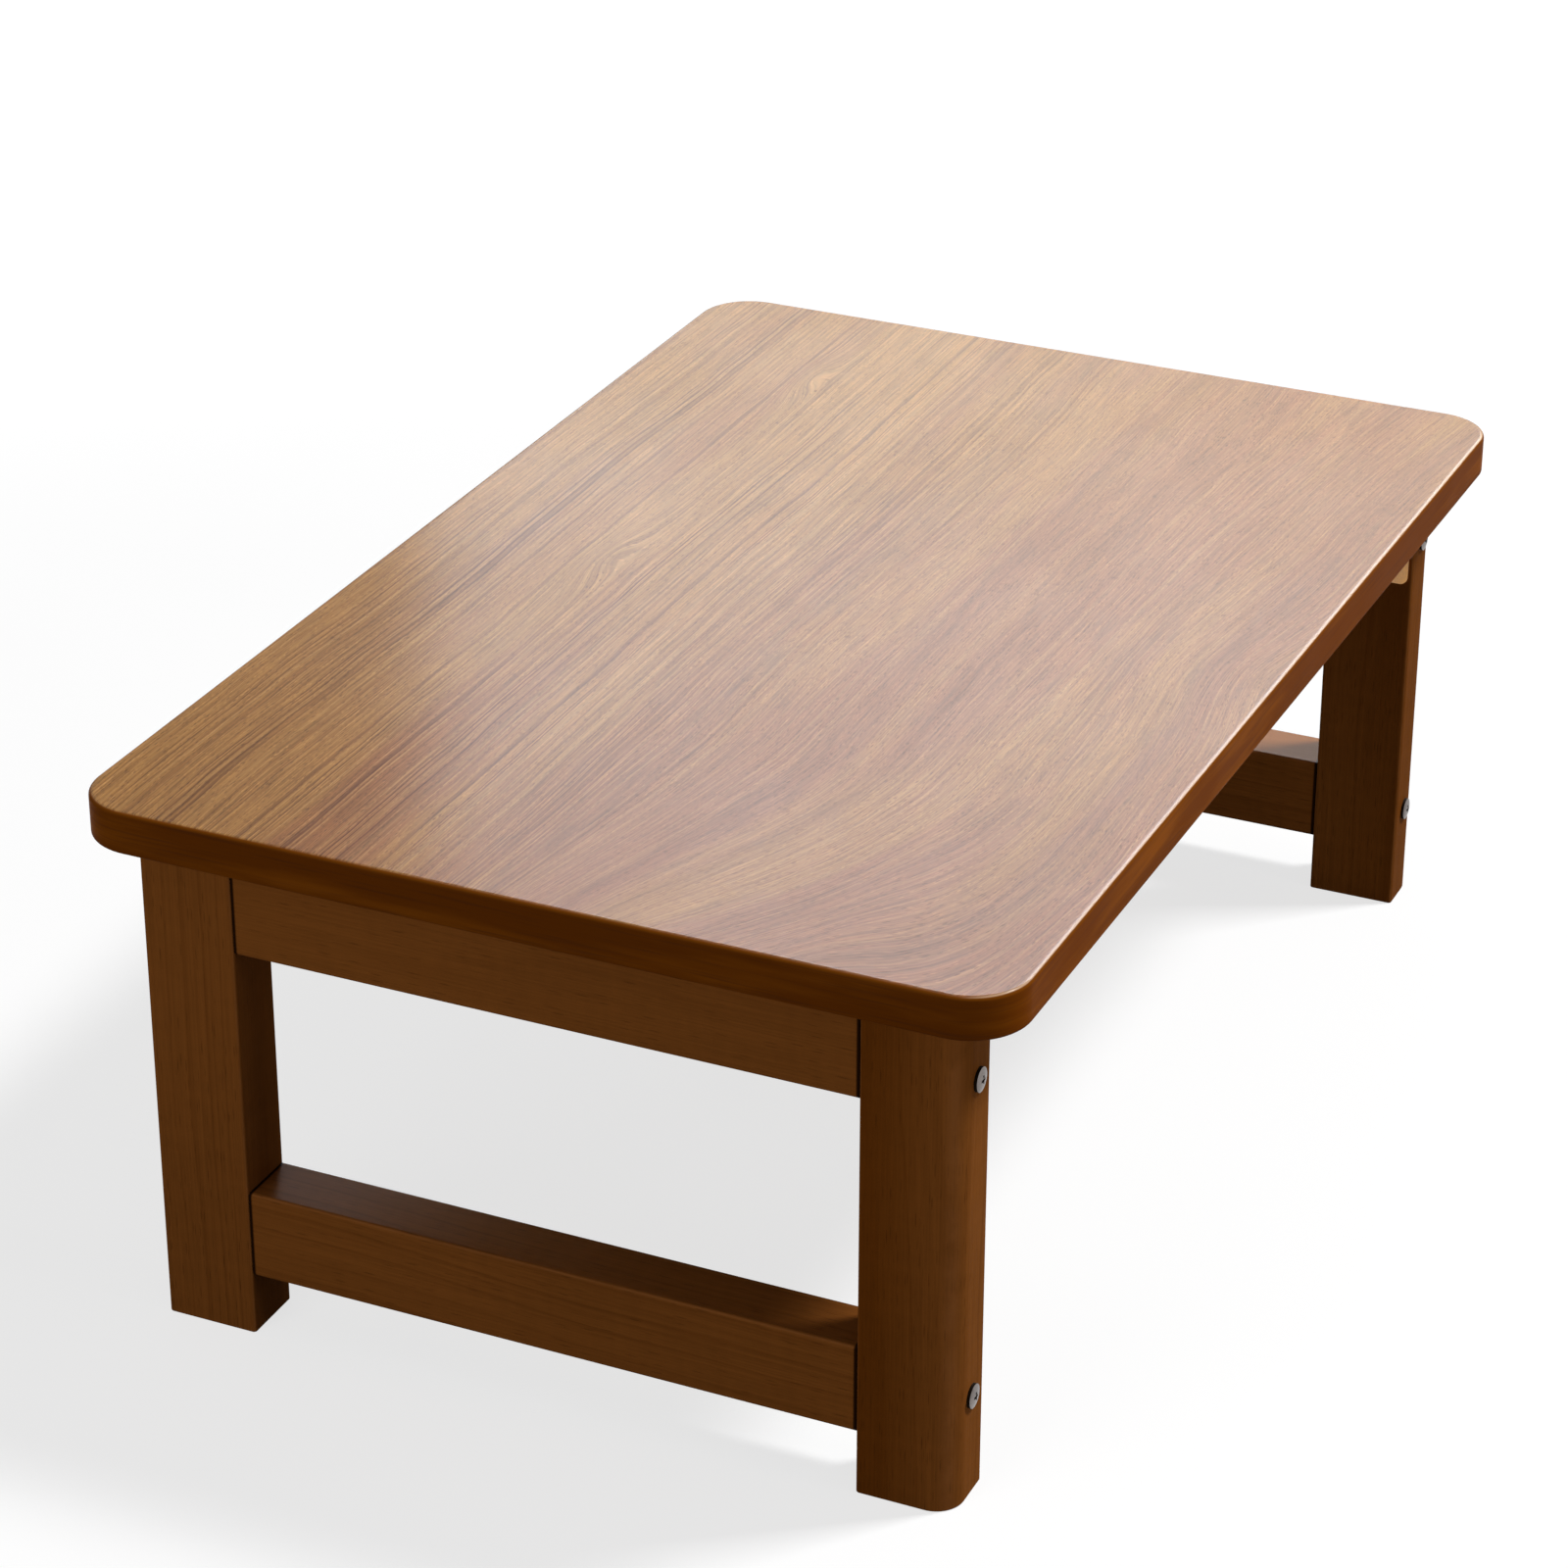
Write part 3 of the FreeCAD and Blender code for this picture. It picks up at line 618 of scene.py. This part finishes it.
def board_figure(graph, place, settings):
    """The colour of the figured wood, and its dark lines, threads and pores."""
    grain = bent_grain(graph, place)
    across = graph.split(grain)["X"]
    aside = graph.vector("ADD", grain, (3.1, 1.7, 0.0))
    astray = graph.vector("ADD", grain, (0.7, 0.3, 0.0))
    lines = graph.group("Figure lines", Vector=grain, Gap=settings.line_gap)
    fine = graph.group("Figure lines", Vector=astray, Gap=settings.thread_gap)
    fibres = graph.group("Fibres", Vector=grain, Width=0.0011, Length=0.045)
    pores = graph.group("Pores", Vector=grain, Width=0.0010, Length=0.0065, Share=0.75)
    flecks = graph.group("Pores", Vector=aside, Width=0.0012, Length=0.0050, Share=0.6)
    broad = graph.noise(grain, (15.0, 1.8, 15.0), 3.0)
    rightward = graph.fade(across, -0.10, 0.06)
    strong = graph.fade(rightward, 0.0, 1.0, 1.0, 0.20)
    thin = graph.fade(rightward, 0.0, 1.0, 0.42, 0.18)
    bright = graph.fade(rightward, 0.0, 1.0, 0.62, 0.28)
    blush = graph.math("MULTIPLY_ADD", rightward, 0.25, graph.fade(broad, 0.40, 0.60, 0.0, 0.75))
    colour = graph.mix(blush, settings.straw, settings.blush)
    colour = graph.lay(colour, settings.line, lines["Dark"], strong)
    colour = graph.lay(colour, settings.line, lines["Streak"], 0.22)
    colour = graph.lay(colour, settings.line, fine["Dark"], thin)
    colour = graph.lay(colour, settings.pale, fine["Light"], thin)
    colour = graph.lay(colour, settings.pale, lines["Light"], bright)
    tone = graph.math("MULTIPLY_ADD", fibres["Thread"], 0.26, 1.0)
    tone = graph.math("MULTIPLY_ADD", fibres["Shimmer"], 0.05, tone)
    tone = graph.math("MULTIPLY_ADD", flecks["Mask"], 0.34, tone)
    colour = graph.shade(colour, tone)
    colour = graph.lay(colour, settings.pore, pores["Mask"], 0.60)
    return colour, lines["Dark"], fibres["Thread"], pores["Mask"]


def board_face_material(settings):
    """Figured wood under satin lacquer, for the face and the underside of the board."""
    material, graph, coordinates = new_material("board_face_wood")
    place = coordinates["Object"]
    colour, lines, threads, pores = board_figure(graph, place, settings)
    film = graph.group("Lacquer film", Vector=place, Roughness=settings.roughness)
    height = graph.math("MULTIPLY_ADD", threads, 0.12, graph.math("MULTIPLY", pores, -0.8))
    height = graph.math("MULTIPLY_ADD", film["Height"], 0.25, height)
    open_pores = graph.math("MULTIPLY", pores, 0.7)
    hollows = graph.math("MULTIPLY_ADD", lines, 0.3, open_pores, clamp=True)
    coat = graph.math("MULTIPLY", graph.math("MULTIPLY_ADD", hollows, -0.5, 1.0), settings.gloss)
    return finish_material(
        material, graph, colour, film["Roughness"], bump(graph, height, BOARD_RELIEF), coat,
        Specular_IOR_Level=0.01, Coat_Roughness=BOARD_COAT_ROUGHNESS)


def board_band_material(settings):
    """The stained rim of the board, which meets the figured face at the top of its round."""
    material, graph, coordinates = new_material("board_band_wood")
    place = coordinates["Object"]
    face = board_figure(graph, place, settings)[0]
    clouds = graph.noise(place, (8.0, 8.0, 70.0), 3.0)
    threads = graph.noise(place, (14.0, 14.0, 700.0), 3.0)
    band = graph.mix(graph.fade(clouds, 0.45, 0.75), settings.band, settings.band_cloud_and_light)
    band = graph.mix(graph.fade(threads, 0.5, 0.75, 0.0, 0.45), band, settings.pore)
    facing = graph.split(coordinates["Normal"])
    upward = facing["Z"]
    sideways = graph.math("ABSOLUTE", facing["X"])
    # Paler on the long sides: painted light
    band = graph.shade(band, graph.fade(sideways, 0.3, 0.95, 1.0, settings.long_band_and_light))
    # Lighter on the upper half of the round: painted light from above
    band = graph.mix(graph.fade(upward, 0.05, 0.6), band, settings.band_cloud_and_light)
    colour = graph.mix(graph.fade(upward, 0.80, 0.96), band, face)
    # A painted highlight along the upper arris on the right
    arris = graph.fade(upward, 0.64, 0.80)
    arris_highlight = graph.math("MULTIPLY", arris, graph.fade(facing["X"], 0.10, 0.40))
    colour = graph.mix(arris_highlight, colour, settings.arris_highlight)
    film = graph.group("Lacquer film", Vector=place, Roughness=settings.roughness)
    height = graph.math("MULTIPLY_ADD", threads, 0.1, graph.math("MULTIPLY", film["Height"], 0.25))
    pooled = graph.fade(upward, 0.66, 0.90, 0.0, 0.24)
    return finish_material(
        material, graph, colour, film["Roughness"], bump(graph, height, BOARD_RELIEF), pooled,
        Specular_IOR_Level=0.004, Coat_Roughness=BOARD_COAT_ROUGHNESS)


def frame_wood_material(name, box, along, turn, side_shade, top_light):
    """Stained wood of one leg or rail, with its grain along the given axis and a pith of its own.

    The painted side shade goes from its first share at the left side of the piece to its second at the
    right.
    The top light is the share of painted light on the face that looks up.
    """
    settings = bpy.context.scene.low_table_frames
    material, graph, coordinates = new_material(name + "_wood")
    centre = (box[0] + box[1]) / 2
    half_width = (box[1] - box[0])[0] / 2
    centred = graph.vector("SUBTRACT", coordinates["Object"], tuple(centre))
    turns = {"X": (0.0, 0.0, QUARTER_TURN), "Z": (QUARTER_TURN, 0.0, 0.0)}
    place = graph.add("ShaderNodeMapping", {"Vector": centred, "Rotation": turns[along]})
    heart = Vector((math.cos(turn), 0.0, math.sin(turn))) * PITH_DISTANCE
    rings = graph.group(
        "Growth rings", Vector=place, First_Pith=tuple(heart), Second_Pith=tuple(heart * SECOND_PITH),
        Lean=0.03, Ring_Width=settings.ring_width, Wander=0.016, Merge=0.01)
    fibres = graph.group("Fibres", Vector=place, Width=0.0011, Length=0.09)
    pores = graph.group("Pores", Vector=place, Width=0.0012, Length=0.015, Share=0.4)
    colour = graph.lay(settings.earlywood, settings.latewood, rings["Latewood"], 0.45)
    colour = graph.lay(colour, settings.latewood, rings["Streak"], 0.35)
    # Painted shade, going from the left side of the piece to the right
    if any(side_shade):
        side_shade_mask = graph.fade(graph.split(centred)["X"], -half_width, half_width, *side_shade)
        colour = graph.mix(side_shade_mask, colour, settings.side_shade)
    tone = graph.math("MULTIPLY_ADD", fibres["Thread"], 0.09, 1.0)
    tone = graph.math("MULTIPLY_ADD", fibres["Shimmer"], 0.08, tone)
    colour = graph.shade(colour, tone)
    colour = graph.lay(colour, settings.pore, pores["Mask"], 0.4)
    # Worn edges, which also carry a painted highlight
    edge_wear_and_light = graph.group(
        "Rubbed edges", Vector=coordinates["Object"], Normal=coordinates["Normal"], Amount=0.45)
    colour = graph.mix(edge_wear_and_light["Mask"], colour, settings.edge_wear_and_light)
    upward = graph.split(coordinates["Normal"])["Z"]
    # Painted light on the face that looks up, in the colour of the edges
    if top_light:
        colour = graph.mix(graph.fade(upward, *TOP_FACES, 0.0, top_light), colour, settings.edge_wear_and_light)
    if along == "X":
        from_middle = graph.math("ABSOLUTE", graph.split(centred)["X"])
        seam = graph.fade(from_middle, *[half_width - reach for reach in SEAM_REACH])
        colour = graph.mix(seam, colour, settings.seam)
    film = graph.group("Lacquer film", Vector=coordinates["Object"], Roughness=settings.roughness)
    threads = graph.math("MULTIPLY", fibres["Thread"], 0.15)
    height = graph.math("MULTIPLY_ADD", film["Height"], 0.3, threads)
    height = graph.math("SUBTRACT", height, graph.math("MULTIPLY", pores["Mask"], 0.5))
    pooled = graph.fade(upward, *TOP_FACES, 0.0, settings.gloss)
    return finish_material(
        material, graph, colour, film["Roughness"], bump(graph, height, FRAME_RELIEF), pooled,
        Specular_IOR_Level=0.002, Coat_Roughness=0.3)


def plated_material(name, colour, dull, roughness):
    """Plated steel."""
    material, graph, coordinates = new_material(name)
    plating = graph.group(
        "Plating", Vector=coordinates["Object"], Colour=colour, Dull_Colour=dull, Roughness=roughness)
    return finish_material(
        material, graph, plating["Colour"], plating["Roughness"],
        bump(graph, plating["Height"], PLATING_RELIEF), Metallic=1.0)


def frame_screw_material(settings):
    """A plated screw that lies along X, with painted shade in its recess and round its rim."""
    material, graph, coordinates = new_material("frame_screw_nickel")
    plating = graph.group(
        "Plating", Vector=coordinates["Object"], Colour=settings.nickel,
        Dull_Colour=settings.dull_nickel)
    facing = graph.split(graph.vector("ABSOLUTE", coordinates["Normal"]))["X"]
    # Painted shade where the normal turns from the screw's axis: recess walls and rim
    colour = graph.mix(graph.fade(facing, *SCREW_SHADE_EDGE), settings.screw_shade, plating["Colour"])
    roughness = graph.fade(facing, *SCREW_SHADE_EDGE, SCREW_SHADE_ROUGHNESS, SCREW_ROUGHNESS)
    return finish_material(
        material, graph, colour, roughness, bump(graph, plating["Height"], PLATING_RELIEF),
        Metallic=1.0)


def dowel_material(settings):
    """Bare beech."""
    material, graph, coordinates = new_material("dowel_beech")
    place = graph.add("ShaderNodeMapping", {
        "Vector": coordinates["Object"], "Rotation": (0.0, 0.0, QUARTER_TURN)})
    fibres = graph.group("Fibres", Vector=place, Width=0.0007, Length=0.02)
    pores = graph.group("Pores", Vector=place, Width=0.0006, Length=0.003, Share=0.7)
    tone = graph.math("MULTIPLY_ADD", fibres["Thread"], 0.12, 1.0)
    colour = graph.shade(settings.beech, tone)
    colour = graph.lay(colour, settings.beech_pore, pores["Mask"], 0.5)
    roughness = graph.math("MULTIPLY_ADD", fibres["Thread"], 0.05, 0.7)
    return finish_material(
        material, graph, colour, roughness, bump(graph, fibres["Thread"], DOWEL_RELIEF))


# The board, from a tree of geometry nodes


def build_eased_bar():
    """A bar with four rounded upright edges. Its rims carry the weights of the bevel that follows."""
    graph, given = new_group("Eased bar", [
        ("Low", "Vector"),
        ("High", "Vector"),
        ("Corner Radius", "Float", 0.01),
        ("Corner Steps", "Int", 12),
        ("Upper Weight", "Float", 1.0),
        ("Lower Weight", "Float", 1.0),
        ("Side Material", "Material"),
        ("Face Material", "Material"),
    ], [("Geometry", "Geometry")], "GeometryNodeTree")
    size = graph.split(graph.vector("SUBTRACT", given["High"], given["Low"]))
    middle = graph.split(graph.scale(graph.vector("ADD", given["High"], given["Low"]), 0.5))
    low = graph.split(given["Low"])
    base = graph.join(middle["X"], middle["Y"], low["Z"])
    outline = graph.add("GeometryNodeCurvePrimitiveQuadrilateral", {
        "Width": size["X"], "Height": size["Y"]})
    rounded = graph.add("GeometryNodeFilletCurve", {
        "Curve": outline, "Count": given["Corner Steps"], "Radius": given["Corner Radius"]},
        mode="POLY")
    foot = graph.add("GeometryNodeFillCurve", {"Curve": rounded}, mode="NGONS")
    risen = graph.add("GeometryNodeExtrudeMesh", {
        "Mesh": foot, "Offset": graph.join(0.0, 0.0, size["Z"]), "Individual": False})
    turned = graph.add("GeometryNodeFlipFaces", {"Mesh": foot})
    both = graph.add("GeometryNodeJoinGeometry")
    for part in (turned, risen):
        graph.feed(both.inputs[0], part)
    merged = graph.add("GeometryNodeMergeByDistance", {"Geometry": both, "Distance": 1e-6})
    closed = graph.add("GeometryNodeTransform", {"Geometry": merged, "Translation": base})
    height = graph.split(graph.add("GeometryNodeInputPosition"))["Z"]
    weights = []
    for rim, weight in ((graph.split(given["High"])["Z"], "Upper Weight"), (low["Z"], "Lower Weight")):
        on_rim = graph.add("FunctionNodeCompare", {"A": height, "B": rim, "Epsilon": 1e-5},
                           data_type="FLOAT", operation="EQUAL")
        weights.append(graph.math("MULTIPLY", on_rim, given[weight]))
    marked = graph.add("GeometryNodeStoreNamedAttribute", {
        "Geometry": closed, "Name": "bevel_weight_edge",
        "Value": graph.math("ADD", *weights)}, data_type="FLOAT", domain="EDGE")
    smooth = graph.add("GeometryNodeSetShadeSmooth", {"Geometry": marked, "Shade Smooth": True})
    real = graph.add("GeometryNodeRealizeInstances", {"Geometry": smooth})
    sides = graph.add("GeometryNodeSetMaterial", {"Geometry": real, "Material": given["Side Material"]})
    upright = graph.math("ABSOLUTE", graph.split(graph.add("GeometryNodeInputNormal"))["Z"])
    flat = graph.add("FunctionNodeCompare", {"A": upright, "B": FLAT_FACE}, data_type="FLOAT",
                     operation="GREATER_THAN")
    dressed = graph.add("GeometryNodeSetMaterial", {
        "Geometry": sides, "Selection": flat, "Material": given["Face Material"]})
    graph.add("NodeGroupOutput", {"Geometry": dressed})


def ready_groups():
    """Builds the node groups, unless an earlier step has."""
    if "Eased bar" in bpy.data.node_groups:
        return
    for build in (build_growth_rings, build_figure_lines, build_pores, build_fibres,
                  build_edge_wear_and_highlight, build_lacquer_film, build_plating, build_eased_bar):
        build()


def grown(name, tree_name, inputs, rim_width, rim_steps):
    """A plain mesh object from a tree of geometry nodes, with its rims bevelled by their weights."""
    holder = bpy.data.objects.new(name + "_holder", bpy.data.meshes.new(name + "_holder"))
    bpy.context.scene.collection.objects.link(holder)
    modifier = holder.modifiers.new("Nodes", "NODES")
    modifier.node_group = bpy.data.node_groups[tree_name]
    for item in modifier.node_group.interface.items_tree:
        if item.item_type == "SOCKET" and item.in_out == "INPUT" and item.name in inputs:
            modifier[item.identifier] = inputs[item.name]
    bevel = holder.modifiers.new("Bevel", "BEVEL")
    bevel.limit_method = "WEIGHT"
    bevel.width = rim_width
    bevel.segments = rim_steps
    weighted = holder.modifiers.new("Normals", "WEIGHTED_NORMAL")
    weighted.weight = 100
    evaluated = holder.evaluated_get(bpy.context.evaluated_depsgraph_get())
    mesh = bpy.data.meshes.new_from_object(evaluated)
    mesh.name = name
    while mesh.materials and mesh.materials[0] is None:
        mesh.materials.pop(index=0)
    bpy.data.objects.remove(holder)
    piece = bpy.data.objects.new(name, mesh)
    bpy.context.scene.collection.objects.link(piece)
    return piece


def dress(node, material):
    """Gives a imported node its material."""
    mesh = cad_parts[node].data
    mesh.materials.clear()
    mesh.materials.append(material)


# Operators


class LOWTABLE_OT_board(bpy.types.Operator):
    """Make the tabletop with its eased rims and figured wood"""

    bl_idname = "lowtable.board"
    bl_label = "Make the board"

    def execute(self, context):
        settings = context.scene.low_table_board
        ready_groups()
        low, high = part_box("tabletop")
        board = grown("board", "Eased bar", {
            "Low": low, "High": high, "Corner Radius": settings.corner_radius,
            "Corner Steps": CORNER_STEPS,
            "Lower Weight": settings.lower_round / settings.upper_round,
            "Side Material": board_band_material(settings),
            "Face Material": board_face_material(settings)}, settings.upper_round, RIM_STEPS)
        # The bevel's own faces come out in either wood, so each is given the one for its slope.
        for polygon in board.data.polygons:
            polygon.material_index = int(abs(polygon.normal.z) > FLAT_FACE)
        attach(board, "top")
        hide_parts("tabletop")
        return {"FINISHED"}


class LOWTABLE_OT_frames(bpy.types.Operator):
    """Finish the four legs and the four rails in stained wood"""

    bl_idname = "lowtable.frames"
    bl_label = "Finish the leg frames"

    def execute(self, context):
        ready_groups()
        posts = [(corner + "_leg", "Z") for corner in CORNERS]
        rails = [(end + "_" + height + "_rail", "X") for end in ENDS for height in ("upper", "lower")]
        for index, (node, along) in enumerate(posts + rails):
            # Painted shade on the sides and painted light on the top of some pieces
            side_shade = PAINTED_SIDE_SHADE.get(node, (0.0, 0.0))
            top_light = PAINTED_TOP_LIGHT.get(node, 0.0)
            turn = GOLDEN_TURN * index
            dress(node, frame_wood_material(node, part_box(node), along, turn, side_shade, top_light))
        return {"FINISHED"}


class LOWTABLE_OT_fittings(bpy.types.Operator):
    """Finish the screws, brackets, bolts, washers, nuts and dowels"""

    bl_idname = "lowtable.fittings"
    bl_label = "Finish the fittings"

    def execute(self, context):
        settings = context.scene.low_table_fittings
        ready_groups()
        frame_screw = frame_screw_material(settings)
        screw = plated_material(
            "screw_nickel", settings.nickel, settings.dull_nickel, SCREW_ROUGHNESS)
        bracket = plated_material(
            "bracket_yellow_zinc", settings.yellow_zinc, settings.dull_yellow, roughness=0.34)
        bolt = plated_material("bolt_zinc", settings.zinc, settings.dull_bolt, roughness=0.32)
        nut = plated_material("nut_zinc", settings.zinc, settings.dull_nut, roughness=0.42)
        finishes = {
            "upper_frame_screw": frame_screw, "lower_frame_screw": frame_screw,
            "leg_plate_screws": screw, "top_plate_screws": screw, "leg_plate": bracket,
            "top_plate": bracket, "pivot_bolt": bolt, "spring_washer": bolt, "wing_nut": nut,
            "dowels": dowel_material(settings),
        }
        for corner in CORNERS:
            for piece, material in finishes.items():
                dress(corner + "_" + piece, material)
        return {"FINISHED"}


def look_towards(place, target):
    """The placing of a lamp that shines from a place at a target."""
    way = Vector(target) - Vector(place)
    return Matrix.Translation(place) @ way.to_track_quat("-Z", "Y").to_matrix().to_4x4()


def add_lamp(name, place, target, width, height, power):
    """A soft lamp with a flat oblong face."""
    light = bpy.data.lights.new(name, "AREA")
    light.shape = "RECTANGLE"
    light.size = width
    light.size_y = height
    light.energy = power
    lamp = bpy.data.objects.new(name, light)
    lamp.matrix_world = look_towards(place, target)
    bpy.context.scene.collection.objects.link(lamp)
    return lamp


def seen_directly(graph):
    """1 where the camera, a mirror or a glass sees the surface, and 0 for light that spreads."""
    path = graph.add("ShaderNodeLightPath").outputs
    mirrored = graph.math("MAXIMUM", path["Is Glossy Ray"], path["Is Transmission Ray"])
    return graph.math("MAXIMUM", path["Is Camera Ray"], mirrored)


def build_world(settings):
    """White surroundings for the eye and for reflections, and a softer light from all round."""
    world = bpy.data.worlds.new("studio_air")
    bpy.context.scene.world = world
    world.use_nodes = True
    world.node_tree.nodes.clear()
    graph = Graph(world.node_tree)
    light = graph.add("ShaderNodeBackground", {"Color": settings.air_tint, "Strength": settings.air})
    white = graph.add("ShaderNodeBackground", {"Color": WHITE, "Strength": 1.0})
    both = graph.add("ShaderNodeMixShader", {0: seen_directly(graph), 1: light, 2: white})
    graph.add("ShaderNodeOutputWorld", {"Surface": both})


def floor_material(settings):
    """A floor that shows white with its shadows, sends back less light, and is clear from below."""
    material, graph, coordinates = new_material("studio_floor")
    place = coordinates["Object"]
    speck = graph.noise(place, (60.0, 60.0, 60.0), 4.0)
    colour = graph.mix(graph.fade(speck, 0.3, 0.7, 0.0, 0.02), settings.floor, settings.fleck)
    matt = graph.add("ShaderNodeBsdfDiffuse", {"Color": colour})
    away = graph.add("ShaderNodeVectorMath", {0: place}, operation="LENGTH").outputs["Value"]
    strength = graph.fade(away, *FLOOR_GLOW_REACH, *FLOOR_GLOW)
    glow = graph.add("ShaderNodeEmission", {"Color": WHITE, "Strength": strength})
    shown = graph.add("ShaderNodeAddShader", {0: matt, 1: glow})
    bounce = graph.add("ShaderNodeBsdfDiffuse", {"Color": settings.bounce})
    upper = graph.add("ShaderNodeMixShader", {0: seen_directly(graph), 1: bounce, 2: shown})
    underside = graph.add("ShaderNodeNewGeometry").outputs["Backfacing"]
    clear = graph.add("ShaderNodeBsdfTransparent")
    both = graph.add("ShaderNodeMixShader", {0: underside, 1: upper, 2: clear})
    graph.add("ShaderNodeOutputMaterial", {"Surface": both})
    return material


class LOWTABLE_OT_stage(bpy.types.Operator):
    """Set up the floor, the lamps and the camera"""

    bl_idname = "lowtable.stage"
    bl_label = "Set up the stage"

    def execute(self, context):
        settings = context.scene.low_table_stage
        scene = context.scene
        scene.view_settings.view_transform = "Standard"
        half = settings.floor_size / 2
        mesh = bpy.data.meshes.new("floor")
        corners = [(-half, -half, 0.0), (half, -half, 0.0), (half, half, 0.0), (-half, half, 0.0)]
        mesh.from_pydata(corners, [], [(0, 1, 2, 3)])
        mesh.materials.append(floor_material(settings))
        floor = bpy.data.objects.new("floor", mesh)
        scene.collection.objects.link(floor)

        build_world(settings)
        for name, (place, target, width, height, power) in LAMPS.items():
            add_lamp(name, place, target, width, height, getattr(settings, power))
        for index, (low, high, colour) in enumerate(SHEEN_PANELS):
            middle = (low + high) / 2
            power = settings.sheen * math.pi * SHEEN_WIDTH * (high - low)
            panel = add_lamp("sheen_panel_" + str(index + 1), (0.0, SHEEN_PLACE, middle),
                             (0.0, 0.0, middle), SHEEN_WIDTH, high - low, power)
            panel.data.color = colour
            panel.visible_diffuse = False

        camera = bpy.data.cameras.new("camera")
        camera.sensor_width = SENSOR_WIDTH
        camera.lens = settings.lens
        viewer = bpy.data.objects.new("camera", camera)
        axes = Matrix((CAMERA_RIGHT, CAMERA_UP, CAMERA_BACK))
        turn = axes.transposed().to_quaternion().to_matrix().to_4x4()
        viewer.matrix_world = Matrix.Translation(CAMERA_PLACE) @ turn
        scene.collection.objects.link(viewer)
        scene.camera = viewer
        return {"FINISHED"}


class LOWTABLE_PT_panel(bpy.types.Panel):
    """Lists the steps of making the table"""

    bl_idname = "LOWTABLE_PT_panel"
    bl_label = "Low table"
    bl_space_type = "VIEW_3D"
    bl_region_type = "UI"
    bl_category = "Low Table"

    def draw(self, context):
        for operator in OPERATORS:
            self.layout.operator(operator.bl_idname)
        for name, kind in SETTINGS.items():
            box = self.layout.box()
            for key in kind.__annotations__:
                box.prop(getattr(context.scene, name), key)


OPERATORS = (LOWTABLE_OT_stage, LOWTABLE_OT_board, LOWTABLE_OT_frames, LOWTABLE_OT_fittings)


def register():
    """Adds the settings, the operators and the panel to Blender."""
    for name, kind in SETTINGS.items():
        bpy.utils.register_class(kind)
        setattr(bpy.types.Scene, name, bpy.props.PointerProperty(type=kind))
    for kind in (*OPERATORS, LOWTABLE_PT_panel):
        bpy.utils.register_class(kind)


def unregister():
    """Takes them out again."""
    for kind in (LOWTABLE_PT_panel, *reversed(OPERATORS)):
        bpy.utils.unregister_class(kind)
    for name, kind in SETTINGS.items():
        delattr(bpy.types.Scene, name)
        bpy.utils.unregister_class(kind)


def main():
    """Makes the whole table and its stage."""
    register()
    bpy.ops.lowtable.stage()
    bpy.ops.lowtable.board()
    bpy.ops.lowtable.frames()
    bpy.ops.lowtable.fittings()


if __name__ == "__main__":
    main()
